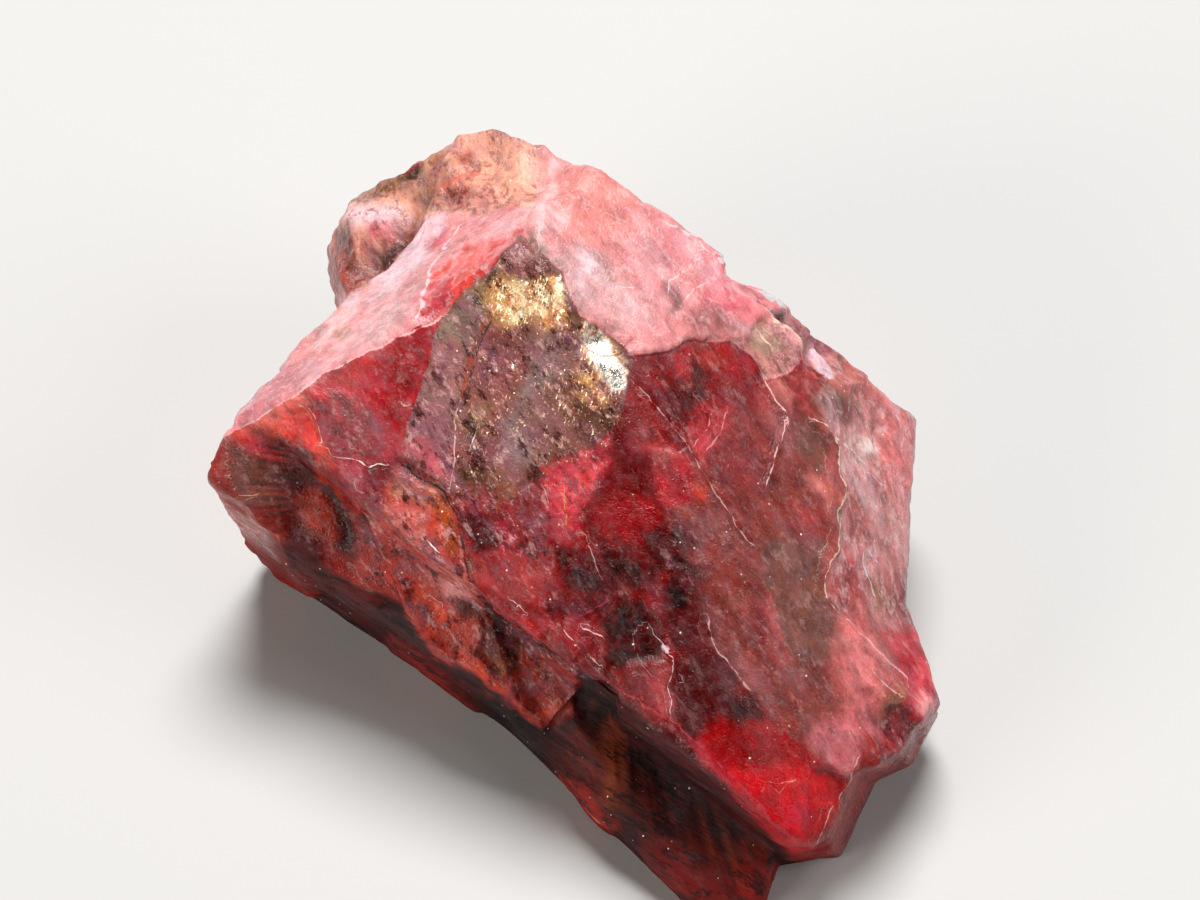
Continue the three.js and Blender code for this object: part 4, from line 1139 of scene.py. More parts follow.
sides = {name: beside(shifted, line) for name, colour, width, line in LINES}
print("lines:", len(sides))

# %% [markdown]
# ## Relief
#
# A zone that broke along its own layer stands a few tenths of a millimetre above
# or below the next one. Its edge is steep, so the height is a steep ramp of the
# depth inside the outline.

# %% Steps, hollows and grooves
LAYERS = {  # height of a zone above its surroundings in mm
    "crown": 0.3, "bronze, left strip": 0.22, "bronze film": 0.1, "ledge, red patch": -0.3,
    "wedge": -0.1, "veil, pale band": 0.2, "veil, chip": 0.1, "triangle": 0.25,
    "salmon corner": -0.2, "olive facet": 0.1, "left lump": 0.25, "recess": -0.15,
    "recess, black streak": -0.3, "block, rust foot": -0.25, "block, hollow": -0.35,
    "block, brown red": -0.3, "block, shade": -0.4, "notch": -0.5, "black patch": -0.12,
    "right face, white": 0.15, "lobe, brown chip": -0.35, "shoulder, white": 0.25,
    "shoulder, pale": 0.25, "shoulder, dark": -0.35, "knob, hollow": -0.45,
    "knob, black spot": -0.45, "knob, dark spot": -0.4, "knob, olive strip": -0.15,
    "knob, dark valley": -0.6, "knob, brown valley": -0.4, "knob, pale face": 0.3,
    "knob, maroon side": -0.3, "keel, brick strips": 0.3, "wall, maroon lump": 0.35,
    "wall, red foot": 0.3,
}
STEP_EDGE, EDGE_PER_RISE = 0.16, 0.3  # mm across a step's edge, and more for a higher step
height = np.zeros(len(skin))
for name, rise in LAYERS.items():
    edge = STEP_EDGE + EDGE_PER_RISE * abs(rise)
    height += rise * ramp(depths[name], -edge / 2, edge / 2) * on_good_side
GROOVES = {  # depth of a line in mm, below zero for a raised edge
    "wedge crack": 0.1, "block crack": 0.4, "film step": -0.12, "film step, pale": -0.1,
    "film step, shade": 0.15, "riser": -0.12, "chip edge": -0.1, "cream edge": -0.25,
    "cream tail": -0.12, "foot edge": -0.12, "rim flecks": -0.1, "rim flecks, middle": -0.1,
    "rim flecks, right": -0.1, "triangle crystals": -0.2, "corner crack": -0.1,
    "panel crack": -0.08, "shoulder groove": 0.4, "shoulder flake": -0.25, "flake line": -0.2,
    "foot vein": -0.1, "ledge edge": -0.1, "crown ridge": -0.15, "foot flecks": -0.12,
    "foot side rim": -0.15,
}
FINEST_GROOVE = 0.12  # mm, half the width of the finest that the mesh can show
GROOVE_SPREAD = 1.6  # a groove fades out at this many times the line's half width
widths = {name: width for name, colour, width, line in LINES}
for name, depth in GROOVES.items():
    half = max(widths[name], FINEST_GROOVE)
    height -= depth * np.exp(-((sides[name] / (GROOVE_SPREAD * half)) ** 2)) * on_good_side
print("steps and grooves, mm:", height.min().round(2), height.max().round(2))

# %% [markdown]
# The breaks themselves are not flat. The cleavage leaves low terraces on them:
# a slowly waving level is rounded to whole steps, with a short riser between.
# On the rough breaks - the knob, the shoulder, the walls and the back - they are
# high, on the glassy ones they can hardly be felt.

# %% Terraces and waves of the breaks
ROUGH_ZONES = {  # how rough a zone broke, from 0 for glassy
    "knob": 1.0, "shoulder": 0.9, "right face": 0.35, "lobe": 0.4, "left lump": 0.35,
    "block, pink grain": 0.4, "block, brown red": 0.6, "recess": 0.7,
    "salmon corner": 0.4, "wall": 0.8, "keel": 0.8, "ledge": 0.3,
}
SMOOTH, HIDDEN_ROUGH = 0.12, 1.1  # of the rest of the good side, and of the hidden sides
CLEAVAGE = unit(np.array([0.55, 0.35, 0.76]))  # the way that the cleavage planes face
TERRACE = 1.7  # mm from one terrace to the next, before waves
RISER = 0.22  # share of a terrace taken up by the riser
WAVING = 1.6  # how far the level waves, in terraces
TERRACE_HEIGHT = (0.025, 0.275)  # mm, on a glassy break, and more by its roughness
LUMP_HEIGHT = (0.03, 0.42)
WAVE_HEIGHT = 0.22
rough = np.full(len(skin), SMOOTH)
for name, amount in ROUGH_ZONES.items():
    rough += ramp(depths[name], -0.4, 0.4) * (amount - rough)
rough = HIDDEN_ROUGH + on_good_side * (rough - HIDDEN_ROUGH)


def terraces(level, riser):
    """Whole steps of a level, with a smooth riser over the last part of each step."""
    whole = np.floor(level)
    return whole + ramp(level - whole, 1 - riser, 1)


level = skin @ CLEAVAGE / TERRACE + WAVING * layers(skin, 6.0, 17, 3)
terraced = (TERRACE_HEIGHT[0] + TERRACE_HEIGHT[1] * rough) * (terraces(level, RISER) - level)
lumpy = (LUMP_HEIGHT[0] + LUMP_HEIGHT[1] * rough) * layers(skin, 3.2, 23, 4, 0.6)
stone_relief = terraced + lumpy
height += WAVE_HEIGHT * layers(skin, 7.0, 11) + stone_relief
print("relief, mm:", height.min().round(2), height.max().round(2))

# %% [markdown]
# The long front wall broke along the fibres of the stone, so its relief is
# drawn out: the noise is read from places squeezed along that direction.

# %% Fibres of the front wall
FIBRES = unit(np.array([0.809, -0.588, 0.0]))  # the way the long front side runs
SQUEEZE = 0.86  # share taken off the length along the fibres
FRONT_WALL_TOP = 9  # mm above the table
FIBRE_HEIGHT = 0.5  # mm
COVERED = 0.7  # share of the other relief that the fibres take away
squeezed = skin - SQUEEZE * (skin @ FIBRES)[:, None] * FIBRES
fibres = layers(squeezed, 1.6, 41, 3, 0.6)
front_wall = np.maximum(ramp(depths["keel"], -0.5, 0.5), ramp(depths["wall"], -0.5, 0.5))
faces_front = ramp(normals_of(skin) @ facing(-126, 0), 0.3, 0.7)
low_front = faces_front * ramp(FRONT_WALL_TOP - skin[:, 2], 0, 3)
fibrous = np.maximum(front_wall * on_good_side, low_front)
height += fibrous * (FIBRE_HEIGHT * fibres - COVERED * stone_relief)
print("fibrous share:", fibrous.mean().round(3))

# %% [markdown]
# The relief is raised along the normals. Then every point is eased towards its
# neighbours, because an edge that has been handled is never as sharp as the plane
# that cut it. The relief fades out at the table, so the stone still rests flat.

# %% Raise the relief and wear the edges
WEAR = 2  # rounds of easing
EASE = 0.33  # share of the way to its neighbours that a point moves in a round
FLAT_BASE = 0.35  # mm, the relief fades out below this height
rise_share = ramp(skin[:, 2], 0.0, FLAT_BASE)
skin = skin + (height * rise_share)[:, None] * normals_of(skin)
for _ in range(WEAR):
    skin = skin + EASE * (average(skin) - skin)
skin[:, 2] = np.maximum(skin[:, 2], 0)
print("finished skin, mm:", skin.min(0).round(2), skin.max(0).round(2))

# %% [markdown]
# ## Colour
#
# Rhodonite is rose to crimson, and darker where it is clear and thick. Thin
# fractures in it scatter light and look pink to white. Manganese oxides stain
# its partings brown and black, and one parting has a film that glitters bronze.

# %% Colours
def linear(code):
    """An sRGB hex colour as linear red, green and blue: ((c + 0.055) / 1.055) ^ 2.4."""
    parts = np.array([int(code[k : k + 2], 16) for k in (1, 3, 5)]) / 255
    return np.where(parts <= 0.04045, parts / 12.92, ((parts + 0.055) / 1.055) ** 2.4)


def lay(paint, colour, share):
    """Paint mixed towards a colour by a share of 0 to 1 at each point."""
    return paint + share[:, None] * (linear(colour) - paint)


print("dark red as light:", linear(PALETTE["dark red"]).round(3))

# %% [markdown]
# The back, the right side and the underside are guessed as plain rhodonite: rose
# in broad patches, browner in places, and black and pale along the fractures.
# Nothing there has a place of its own, so layered noise is enough. The low front
# side is darkened nearly black: partly its dark crust, partly painted shade.

# %% The unseen sides
fine = layers(skin, 2.4, 61, 2)
broad_patches = layers(skin, 9.0, 67, 3)
fracture = np.abs(layers(skin, 12.0, 71, 4))
back = np.tile(linear("#96404a"), (len(skin), 1))
back = lay(back, "#c07c7c", ramp(broad_patches + 0.3 * fine, -0.05, 0.4))
back = lay(back, "#701e2a", ramp(-broad_patches + 0.4 * fine, 0.05, 0.4))
back = lay(back, "#6a4030", 0.7 * ramp(layers(skin, 8.0, 73, 4), 0.06, 0.26))
back = lay(back, "#2c1714", 0.85 * ramp(layers(skin, 6.0, 79, 4) - fracture, 0.0, 0.16))
back = lay(back, "#d8aaa2", 0.5 * ramp(0.06 - fracture, 0.0, 0.06))
# painted shade: the low front side darkened, over its dark crust
back = lay(back, "#30140e", 0.85 * low_front)
print("back colours:", back.mean(0).round(3))

# %% [markdown]
# The zones are laid over one another like washes of paint, the soft ones so thin
# that the stone below shows through in mottles. Then each paint is deepened: light
# loses more green and blue than red inside the stone, the clearer the more. The
# lower stone, the layer above it and the film are three paints of their own.

# %% The good side
LOWER_DEPTH = (1.03, 1.4, 1.41)  # power that red, green and blue are raised to
UPPER_DEPTH = (1.0, 1.12, 1.12)
FILM_DEPTH = (1.0, 1.0, 1.04)
MOTTLE = 0.5  # how much the stone below shows through, for each mm of soft border
SOFTEST = 0.7  # mm, a border softer than this lets no more through
mottle = 0.6 * noise(skin, 0.9, 83) + 0.5 * noise(skin, 0.42, 89)


def painted(ground, zones):
    """The zones laid in turn over a ground colour."""
    paint = np.tile(linear(PALETTE[ground]), (len(skin), 1))
    for name, colour, border, outline in zones:
        share = ramp(depths[name], -border, border)
        cover = 1 - MOTTLE * min(border, SOFTEST) * (0.5 + mottle)
        paint = lay(paint, PALETTE[colour], share * np.clip(cover, 0, 1))
    return paint


def finished(paint, shade, depth):
    """Paint as seen through the stone, with the back's colours where the map ends.

    Each colour part is raised to its depth, then lightened or darkened in clouds.
    """
    paint = back + on_good_side[:, None] * (paint - back)
    return np.clip(paint**depth * np.exp(shade)[:, None], 0, 1)


shade = 0.2 * noise(skin, 1.6, 97) + 0.2 * noise(skin, 0.7, 101) + 0.16 * noise(skin, 0.35, 103)
paints = {
    "lower": finished(painted("dark red", LOWER_ZONES), shade, LOWER_DEPTH),
    "upper": finished(painted("pink", UPPER_ZONES), 0.5 * shade, UPPER_DEPTH),
    "film_colour": finished(painted("bronze", BRONZE_FILM), 0.8 * shade, FILM_DEPTH),
}
print({name: paint.mean(0).round(3) for name, paint in paints.items()})

# %% [markdown]
# The film ends sharply above and at the left, where a layer broke away. Below,
# it thins out into the red stone, so its border there is read over a wide band.

# %% Borders of the paints
FILM_FADE = (58, 66)  # map units up the slope between which the border sharpens
FILM_SPREAD = 10  # how many times wider the border is below them, less one
UPPER = ("crown", "ledge", "knob", "shoulder")  # the whole outlines of the upper layer
upper_depth = np.max([depths[name] for name in UPPER], axis=0)
map_height = (places[:, 1] - MAP_CORNER[1]) / MAP_UNIT
film_edge = depths["bronze film"] / (1 + FILM_SPREAD * (1 - ramp(map_height, *FILM_FADE)))
print("under the film:", int((film_edge > 0).sum()), "points")

# %% [markdown]
# A vein is finer than the mesh, so it can't be stored as paint. The distance to the
# nearest vein can, because it changes evenly from one point to the next.

# %% The nearest vein
FINEST_VEIN = 0.05  # mm, half width
vein = np.full(len(skin), MARGIN)
vein_colour = np.zeros((len(skin), 4))
for name, colour, width, line in LINES:
    widths_off = np.abs(vein) / np.maximum(vein_colour[:, 3], FINEST_VEIN)
    closer = np.abs(sides[name]) / width < widths_off
    vein = np.where(closer, sides[name], vein)
    vein_colour = np.where(closer[:, None], [*linear(PALETTE[colour]), width], vein_colour)
vein = np.where(on_good_side > 0.5, vein, MARGIN)
print("points on a vein:", int((np.abs(vein) < vein_colour[:, 3]).sum()))

# %% [markdown]
# What was worked out at each point is stored on the mesh under a name, and the
# material reads it back. An unwrapped texture could carry it too, but with seams.

# %% The skin as a mesh
mesh = bpy.data.meshes.new("rhodonite_skin")
mesh.from_pydata((skin * MM).tolist(), [], quads.tolist())
mesh.shade_smooth()
stone = bpy.data.objects.new("rhodonite_skin", mesh)
bpy.context.scene.collection.objects.link(stone)


def give(name, values):
    """Stores a number or a colour at each point of the skin under that name."""
    if values.ndim == 2:
        attribute = mesh.attributes.new(name, "FLOAT_COLOR", "POINT")
        if values.shape[1] == 3:
            values = np.concatenate([values, np.ones((len(values), 1))], 1)
        attribute.data.foreach_set("color", values.astype(np.float32).ravel())
    else:
        attribute = mesh.attributes.new(name, "FLOAT", "POINT")
        attribute.data.foreach_set("value", values.astype(np.float32))


def amounts(table, ground=0.0, soft=0.35):
    """An amount at each point: the zones' amounts laid over a ground amount."""
    total = np.full(len(skin), ground)
    for name, amount in table.items():
        total += ramp(depths[name], -soft, soft) * (amount - total)
    return total


print("mesh:", len(mesh.vertices), "points", len(mesh.polygons), "quads")

# %% [markdown]
# Four amounts go with the paints: how much gold glitters in the stone, how strongly
# its grains differ, how milky it is, and, from the relief, how fibrous it is.

# %% Gold, grain and milk
gold = amounts({
    "bronze film": 0.52, "bronze, gold band and sheen": 0.79, "bronze, right sparks": 0.68,
    "bronze, apex": 0.45, "bronze, left strip": 0.3, "bronze, low sparks": 0.58,
    "bronze, painted highlight": 1.0, "rose": 0.45, "granular": 0.35,
})
HIDDEN_CONTRAST, HIDDEN_MILK = 0.5, 0.2  # of the sides that the map doesn't show
contrast = amounts({
    "left panel": 0.35, "left panel, grain": 0.6, "salmon corner": 0.4,
    "olive facet": 0.5, "left lump": 0.1, "recess": 0.4, "block": 1.0,
    "block, brown red": 0.8, "notch": 0.8, "keel": 1.0, "wall": 1.0,
    "granular": 0.9, "rose": 0.7, "dark mottle": 0.2, "rim": 0.3, "low crimson": 0.2,
    "black patch": 0.05, "crimson foot": 0.0, "red glass": 0.1, "veil": 0.3,
    "veil, grey": 0.4, "speckle": 0.5, "veil foot": 0.4, "right face": 0.3,
    "lobe": 0.4, "lobe, brown chip": 0.8, "knob": 0.65, "shoulder": 0.6,
    "crown": 0.12, "ledge": 0.08, "bronze film": 1.0,
}, 0.4)
contrast = HIDDEN_CONTRAST + on_good_side * (contrast - HIDDEN_CONTRAST)
milk = amounts({
    "veil": 0.1, "right face": 0.72, "veil foot": 0.12, "lobe": 0.2, "left panel": 0.1,
    "knob": 0.3, "shoulder": 0.4, "crown": 0.55, "ledge": 0.7, "bronze film": 0.0,
}, 0.04, 0.6)
milk = HIDDEN_MILK + on_good_side * (milk - HIDDEN_MILK)
print("mean gold and milk:", gold.mean().round(2), milk.mean().round(2))

# %% Store what the material reads
for name, paint in paints.items():
    give(name, paint)
give("vein_colour", vein_colour)
give("vein", vein)
give("upper_edge", np.where(on_good_side > 0.5, upper_depth, 0.0))
give("film_edge", np.where(on_good_side > 0.5, film_edge, -MARGIN))
give("gold", gold * on_good_side)
give("milk", milk)
give("contrast", contrast)
give("fibrous", fibrous)
print("attributes:", len(mesh.attributes))

# %% Tie the skin to the frame
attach(stone, "root")
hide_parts("rhodonite")
print("skin:", stone.name, "in place of the node rhodonite")

# %% [markdown]
# ## The material
#
# Rhodonite, a manganese silicate, freshly broken and never polished. It has a
# glassy surface with an IOR of about 1.73, is rough by its fine fractures, and
# lets light in for about a millimetre, red the deepest.

# %% Add a node
material = bpy.data.materials.new("rhodonite_broken_glassy")
material.use_nodes = True
tree = material.node_tree
tree.nodes.clear()


def add(kind, inputs=None, **settings):
    """Adds a node, sets its settings, and sets or links its inputs by name or number.

    An input that is given as a node is linked to that node's first active output.
    """
    node = tree.nodes.new(kind)
    for key, value in settings.items():
        setattr(node, key, value)
    for key, value in (inputs or {}).items():
        if isinstance(value, bpy.types.Node):
            value = next(output for output in value.outputs if output.enabled)
        if isinstance(value, bpy.types.NodeSocket):
            tree.links.new(value, node.inputs[key])
        else:
            node.inputs[key].default_value = value
    return node


print("material:", material.name)

# %% [markdown]
# Over the paints the material lays thin coats: grains, milk, wisps, flakes. Each
# has one colour, as a crushed piece of that mineral would. The glints and the
# whitest flakes are painted light.

# %% Colours of the coats
COAT_COLOURS = {
    "dark grain": "#7e4c48", "mauve grain": "#84505e", "pale grain": "#dca8a4",
    "milk": "#e2c2c8", "wisp": "#f2dede",
    # the white flake colour is the painted highlight at the film's bright corner
    "orange flake": "#cf7f50", "pale flake": "#ffe2b8", "painted highlight flake": "#fff6e4",
    # painted glint: a near-white speck laid into the colour
    "painted_glint": "#f2dcd4",
}


def rgba(name):
    """A coat's colour with full opacity, for a colour socket."""
    return (*linear(COAT_COLOURS[name]), 1.0)


print("coat colours:", list(COAT_COLOURS))

# %% What the skin stores
stored = {
    name: add("ShaderNodeAttribute", attribute_name=name)
    for name in [attribute.name for attribute in mesh.attributes]
    if not name.startswith(".") and name != "position"
}
amount = {name: node.outputs["Fac"] for name, node in stored.items()}
print("stored on the skin:", list(stored))

# %% [markdown]
# Every pattern is noise with grains of a size in millimetres. On the front wall
# the stone is fibrous, so there the same grains are drawn out along the wall.

# %% Grains of the stone
own = add("ShaderNodeTexCoord").outputs["Object"]
in_mm = add("ShaderNodeVectorMath", {0: own, "Scale": 1 / MM}, operation="SCALE")
DRAWN_OUT = {  # dip and compass turn of the long way in degrees, stretch along x, y and z
    "wall": (0, -36, (5, 1, 1)),    # along the front wall
    "film": (0, -12, (1, 3.2, 3.2)),    # down the bronze film
    "slope": (27, -50, (2, 1, 1)),  # down the broad face to the right
    "veils": (27, -50, (3.5, 1.5, 1)),
}
drawn_out = {}
for name, (dip, turn, stretch) in DRAWN_OUT.items():
    rotation = (0, math.radians(dip), math.radians(turn))
    drawn_out[name] = add(
        "ShaderNodeMapping",
        {"Vector": in_mm, "Rotation": rotation, "Scale": stretch},
        vector_type="TEXTURE",
    )
GRAINS = {  # where read, size in mm, detail, roughness, and what becomes 0 and 1
    "clouds": ("slope", 1.3, 6, 0.74, 0.3, 0.7),
    "dark": ("slope", 0.8, 6, 0.78, 0.5, 0.6),
    "pale": ("slope", 0.6, 6, 0.78, 0.53, 0.63),
    "mauve": ("slope", 1.4, 6, 0.7, 0.48, 0.62),
    "border": (None, 0.25, 2, 0.5, 0.3, 0.7),
    "gaps in veins": (None, 0.6, 3, 0.5, 0.35, 0.6),
    "gloss": (None, 0.6, 3, 0.5, 0.35, 0.65),
    "relief": (None, 0.5, 4, 0.5, 0, 1),
    "fine relief": (None, 0.16, 2, 0.5, 0, 1),
    "haze": ("veils", 2.4, 5, 0.62, 0.46, 0.7),
    "wisps": ("veils", 1.1, 5, 0.6, 0, 1),
    "strokes": ("film", 0.13, 4, 0.72, 0, 1),
    "flake hues": ("film", 0.5, 2, 0.5, 0.4, 0.6),
    "clusters": (None, 2.2, 2, 0.5, 0.46, 0.6),
}
grains = {}
for name, (where, size, detail, roughness, low, high) in GRAINS.items():
    inputs = {"Scale": 1 / size, "Detail": detail, "Roughness": roughness}
    spots = add("ShaderNodeTexNoise", {"Vector": drawn_out.get(where, in_mm), **inputs})
    if where != "film":
        streaks = add("ShaderNodeTexNoise", {"Vector": drawn_out["wall"], **inputs})
        spots = add("ShaderNodeMix", {0: amount["fibrous"], 2: spots, 3: streaks})
    grains[name] = add(
        "ShaderNodeMapRange",
        {"Value": spots, "From Min": low, "From Max": high},
        interpolation_type="SMOOTHSTEP" if high < 1 else "LINEAR",
    )
print("grains:", list(grains))

# %% [markdown]
# The three paints are parted by crisp edges: each depth inside an outline is
# read where the ray lands, so a parting stays sharp between two mesh points.

# %% The three paints
RAGGED = 0.06  # mm that noise shifts the film's border to either side
ragged = {0: grains["border"], 1: 2 * RAGGED, 2: -RAGGED}
ragged = add("ShaderNodeMath", ragged, operation="MULTIPLY_ADD")
film_depth = add("ShaderNodeMath", {0: amount["film_edge"], 1: ragged}, operation="ADD")
colour = stored["lower"].outputs["Color"]
PARTINGS = [  # paint, depth inside it, half width of its edge in mm
    ("upper", amount["upper_edge"], 0.05),
    ("film_colour", film_depth, 0.04),
]
for paint, depth, half in PARTINGS:
    share = add("ShaderNodeMapRange", {"Value": depth, "From Min": -half, "From Max": half})
    mix = {0: share, 6: colour, 7: stored[paint].outputs["Color"]}  # share, below, above
    colour = add("ShaderNodeMix", mix, data_type="RGBA")
print("laid over the lower paint:", [paint for paint, depth, half in PARTINGS])

# %% [markdown]
# Two things whiten the pale stone: a milky haze deep in it, and thin wisps where
# fine fractures come up to the surface. A wisp is where the noise crosses 0.5.

# %% Milk and wisps
WISP = 0.045  # how far from 0.5 the noise may be in a wisp
MOST_MILK = (("haze", 0.6), ("wisps", 0.4))  # how far each whitens the milkiest stone
off_middle = add("ShaderNodeMath", {0: grains["wisps"], 1: 0.5}, operation="SUBTRACT")
off_middle = add("ShaderNodeMath", {0: off_middle}, operation="ABSOLUTE")
wisp = add(
    "ShaderNodeMapRange",
    {"Value": off_middle, "From Min": WISP, "From Max": 0.0},
    interpolation_type="SMOOTHSTEP",
)
wisp = add("ShaderNodeMath", {0: wisp, 1: grains["gaps in veins"]}, operation="MULTIPLY")
patterns = {"haze": grains["haze"], "wisps": wisp}
whitened = {}
for name, most in MOST_MILK:
    strength = add("ShaderNodeMath", {0: amount["milk"], 1: most}, operation="MULTIPLY")
    factors = {0: patterns[name], 1: strength}
    whitened[name] = add("ShaderNodeMath", factors, operation="MULTIPLY")
print("whitened by:", list(whitened))

# %% [markdown]
# A vein's width is stored with its colour, and gaps break it into dashes.

# %% Cracks and veins
THINNEST = 0.005  # mm, so that a gap is a hair and not a division by nothing
VEIN_CORE, VEIN_COVER = 0.4, 0.8  # share of the width that is full, and how opaque it is
vein_width = add(
    "ShaderNodeMath",
    {0: stored["vein_colour"].outputs["Alpha"], 1: grains["gaps in veins"]},
    operation="MULTIPLY",
)
vein_width = add("ShaderNodeMath", {0: vein_width, 1: THINNEST}, operation="MAXIMUM")
off_vein = add("ShaderNodeMath", {0: amount["vein"]}, operation="ABSOLUTE")
off_vein = add("ShaderNodeMath", {0: off_vein, 1: vein_width}, operation="DIVIDE")
on_vein = {"Value": off_vein, "From Min": 1, "From Max": VEIN_CORE, "To Max": VEIN_COVER}
on_vein = add("ShaderNodeMapRange", on_vein)
print("widest vein, mm:", 2 * max(widths.values()))

# %% [markdown]
# The film glitters in strokes that run down the slope, more of them where there
# is more gold. Elsewhere glints of single broken grains are painted into the colour
# as near-white specks: a few in a hundred cells of a cell pattern are chosen, each
# by its random colour.

# %% Bronze flakes and glints
GRAIN_CELL = 0.24  # mm, the size of a broken grain
GLINTING = 0.028  # share of the cells that may flash
BARE, GILDED = 0.83, 0.41  # what the strokes must reach to flake, without and with gold
GATHERING = 0.07  # how much the pale grains gather the flakes
FLAKE_EDGE = 0.06  # how far past the limit a stroke is a full flake
# where the gold is fullest, at the painted highlight, the flakes are painted white
MOST_GILDED = 0.85  # from this much gold on, the flakes turn white
GLINT_SIZE = (0.08, 0.26)  # radius in cells, and what chance adds to it
GLINT_COVER = 0.9
rarity = {0: amount["gold"], 1: GILDED - BARE, 2: BARE}
rarity = add("ShaderNodeMath", rarity, operation="MULTIPLY_ADD")
gathered = {0: grains["pale"], 1: GATHERING, 2: grains["strokes"]}
gathered = add("ShaderNodeMath", gathered, operation="MULTIPLY_ADD")
flake = add("ShaderNodeMath", {0: gathered, 1: rarity}, operation="SUBTRACT")
flake = {"Value": flake, "From Max": FLAKE_EDGE}
flake = add("ShaderNodeMapRange", flake, interpolation_type="SMOOTHSTEP")
flake_colour = add(
    "ShaderNodeMix",
    {0: grains["flake hues"], 6: rgba("orange flake"), 7: rgba("pale flake")},
    data_type="RGBA",
)
# share of the painted highlight: there the flakes turn white, tilt less and are more metal
highlight_share = add("ShaderNodeMapRange", {"Value": amount["gold"], "From Min": MOST_GILDED})
flake_colour = add(
    "ShaderNodeMix", {0: highlight_share, 6: flake_colour, 7: rgba("painted highlight flake")}, data_type="RGBA"
)
cells = add("ShaderNodeTexVoronoi", {"Vector": in_mm, "Scale": 1 / GRAIN_CELL})
dice = add("ShaderNodeSeparateColor", {0: cells.outputs["Color"]})
chosen = add("ShaderNodeMath", {0: dice.outputs[0], 1: 1 - GLINTING}, operation="GREATER_THAN")
glint_size = {0: dice.outputs[1], 1: GLINT_SIZE[1], 2: GLINT_SIZE[0]}
glint_size = add("ShaderNodeMath", glint_size, operation="MULTIPLY_ADD")
painted_glint = add("ShaderNodeMath", {0: cells, 1: glint_size}, operation="LESS_THAN")
for factor in (chosen, grains["clusters"], GLINT_COVER):
    painted_glint = add("ShaderNodeMath", {0: painted_glint, 1: factor}, operation="MULTIPLY")
print("one grain in", round(1 / GLINTING), "may flash")

# %% [markdown]
# The coats go on in the order in which they lie in the stone: clouds and grains,
# milk and wisps, the veins, and at the surface the flakes and the painted glints.

# %% Lay the coats on
DARKEST, PALEST = 0.72, 1.34  # what the clouds multiply the paint by
MOST_GRAIN = (("dark", 1.0), ("mauve", 0.5), ("pale", 0.46))
lightness = {"Value": grains["clouds"], "To Min": DARKEST, "To Max": PALEST}
lightness = add("ShaderNodeMapRange", lightness)
cloud = add("ShaderNodeCombineColor", {0: lightness, 1: lightness, 2: lightness})
not_fibrous = add("ShaderNodeMath", {0: 1.0, 1: amount["fibrous"]}, operation="SUBTRACT")
grainy = {}
for name, most in MOST_GRAIN:
    grainy[name] = grains[name]
    for factor in (most, amount["contrast"], not_fibrous if name != "dark" else 1.0):
        factors = {0: grainy[name], 1: factor}
        grainy[name] = add("ShaderNodeMath", factors, operation="MULTIPLY")
COATS = [  # how it is laid on, how much of it, its colour
    ("MULTIPLY", 1.0, cloud),
    ("MULTIPLY", grainy["dark"], rgba("dark grain")),
    ("MIX", grainy["mauve"], rgba("mauve grain")),
    ("MIX", grainy["pale"], rgba("pale grain")),
    ("MIX", whitened["haze"], rgba("milk")),
    ("MIX", whitened["wisps"], rgba("wisp")),
    ("MIX", on_vein, stored["vein_colour"].outputs["Color"]),
    ("MIX", flake, flake_colour),
    # painted glints: near-white specks laid into the colour
    ("MIX", painted_glint, rgba("painted_glint")),
]
for blend, share, coat in COATS:
    mix = {0: share, 6: colour, 7: coat}
    colour = add("ShaderNodeMix", mix, data_type="RGBA", blend_type=blend)
print("coats:", len(COATS))

# %% [markdown]
# The facets of the grains and flakes each face their own way: every cell tilts
# the surface a little, and more so on a flake.

# %% Gloss, fine relief and depth
GLASSIEST, DULLEST, FIBRE_GLOSS = 0.2, 0.42, 0.7  # roughness of the breaks and of the fibres
FACET_TILT, FLAKE_TILT = 0.1, 0.5  # how far a cell tilts the surface, and a flake besides
FINE_HEIGHT = 0.12 * MM
LIGHT_DEPTH = 1.2 * MM  # how deep red light goes
DEPTHS_OF_LIGHT = (1.0, 0.35, 0.3)  # of red, green and blue, as shares of that
gloss = {"Value": grains["gloss"], "To Min": GLASSIEST, "To Max": DULLEST}
gloss = add("ShaderNodeMapRange", gloss)
gloss = add("ShaderNodeMix", {0: amount["fibrous"], 2: gloss, 3: FIBRE_GLOSS})
fine_height = add("ShaderNodeMath", {0: grains["relief"], 1: grains["fine relief"]}, operation="ADD")
normal = {"Height": fine_height, "Strength": 0.5, "Distance": FINE_HEIGHT}
normal = add("ShaderNodeBump", normal)
centred = {0: cells.outputs["Color"], 1: (0.5, 0.5, 0.5)}
tilt = add("ShaderNodeVectorMath", centred, operation="SUBTRACT")
tilt_amount = {"Value": highlight_share, "To Min": FLAKE_TILT, "To Max": 0.0}
tilt_amount = {0: flake, 1: add("ShaderNodeMapRange", tilt_amount), 2: FACET_TILT}
tilt_amount = add("ShaderNodeMath", tilt_amount, operation="MULTIPLY_ADD")
tilt = add("ShaderNodeVectorMath", {0: tilt, "Scale": tilt_amount}, operation="SCALE")
normal = add("ShaderNodeVectorMath", {0: normal, 1: tilt}, operation="ADD")
normal = add("ShaderNodeVectorMath", {0: normal}, operation="NORMALIZE")
metal = add("ShaderNodeMapRange", {"Value": highlight_share, "To Min": 0.5, "To Max": 0.95})
metal = add("ShaderNodeMath", {0: flake, 1: metal}, operation="MULTIPLY")
surface = add(
    "ShaderNodeBsdfPrincipled",
    {
        "Base Color": colour,
        "Metallic": metal,
        "Roughness": gloss,
        "IOR": 1.73,
        "Specular IOR Level": 0.13,
        "Normal": normal,
        "Subsurface Weight": 0.25,
        "Subsurface Radius": DEPTHS_OF_LIGHT,
        "Subsurface Scale": LIGHT_DEPTH,
    },
)
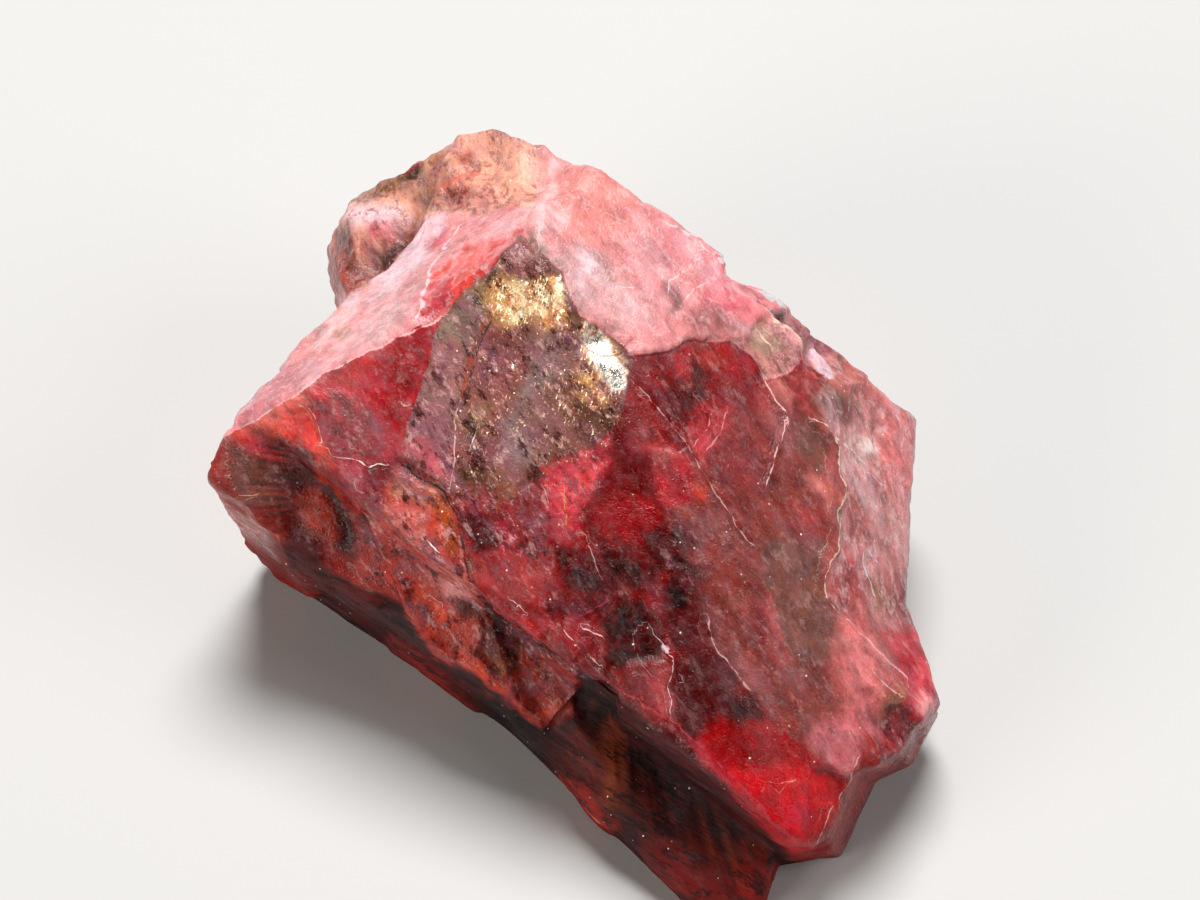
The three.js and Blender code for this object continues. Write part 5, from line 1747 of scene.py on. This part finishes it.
add("ShaderNodeOutputMaterial", {"Surface": surface})
mesh.materials.append(material)
print("nodes:", len(tree.nodes))

# %% [markdown]
# ## The studio
#
# A pale sheet to stand on, and soft light from above and a little behind, so
# that the top is bright and the front side falls into its own shade.

# %% Floor
FLOOR_HALF = 3.0  # metres
floor_mesh = bpy.data.meshes.new("studio_floor")
corners = [(x, y, 0) for x, y in FLOOR_HALF * np.array([(-1, -1), (1, -1), (1, 1), (-1, 1)])]
floor_mesh.from_pydata(corners, [], [(0, 1, 2, 3)])
floor = bpy.data.objects.new("studio_floor", floor_mesh)
bpy.context.scene.collection.objects.link(floor)
card = bpy.data.materials.new("studio_card_matt")
card.use_nodes = True
card_surface = card.node_tree.nodes["Principled BSDF"]
card_surface.inputs["Base Color"].default_value = (*linear("#c2c1bf"), 1)
card_surface.inputs["Roughness"].default_value = 0.9
floor_mesh.materials.append(card)
print("floor, metres:", 2 * FLOOR_HALF)

# %% [markdown]
# The camera looks against the way that the map faces, from as near as one looks at
# a stone in the hand. The lens makes the stone fill most of the frame.

# %% Camera
AIM = Vector(HEART + (0, 5, 0)) * MM  # the middle of what shows, behind the heart
DISTANCE = 260 * MM
camera_data = bpy.data.cameras.new("camera")
camera_data.lens = 110.76  # mm
camera_data.sensor_width = 36
camera = bpy.data.objects.new("camera", camera_data)
camera.location = AIM + DISTANCE * Vector(MAP_OUT)
camera.rotation_euler = (AIM - camera.location).to_track_quat("-Z", "Y").to_euler()
bpy.context.scene.collection.objects.link(camera)
bpy.context.scene.camera = camera
print("camera at, metres:", [round(v, 3) for v in camera.location])

# %% [markdown]
# The key lamp is nearly overhead, a little behind the stone: the facet beside the
# film mirrors it. A weak fill stands at the right, and a stronger, warmer one at
# the left, which is all that reaches the front wall.


# %% Lights
def softbox(name, place, size, watts, colour=(1, 1, 1)):
    """A round lamp of a size in metres that looks at the stone."""
    data = bpy.data.lights.new(name, "AREA")
    data.shape = "DISK"
    data.size = size
    data.energy = watts
    data.color = colour
    lamp = bpy.data.objects.new(name, data)
    lamp.location = place
    lamp.rotation_euler = (AIM - lamp.location).to_track_quat("-Z", "Y").to_euler()
    bpy.context.scene.collection.objects.link(lamp)


softbox("key", (0.02, 0.19, 0.6), 0.3, 5.4)
softbox("right fill", (0.5, -0.2, 0.4), 0.4, 1.3)
softbox("left fill", (-0.5, -0.4, 0.25), 0.4, 2.6, (1.0, 0.93, 0.86))
world = bpy.data.worlds.new("room")
world.use_nodes = True
world.node_tree.nodes["Background"].inputs["Color"].default_value = (0.92, 0.95, 1.0, 1)
world.node_tree.nodes["Background"].inputs["Strength"].default_value = 0.07
bpy.context.scene.world = world
bpy.context.scene.view_settings.view_transform = "Standard"
print("lamps:", [lamp.name for lamp in bpy.data.lights])

# %% [markdown]
# The view layer is brought up to date at the end.

# %% Finish
bpy.context.view_layer.update()
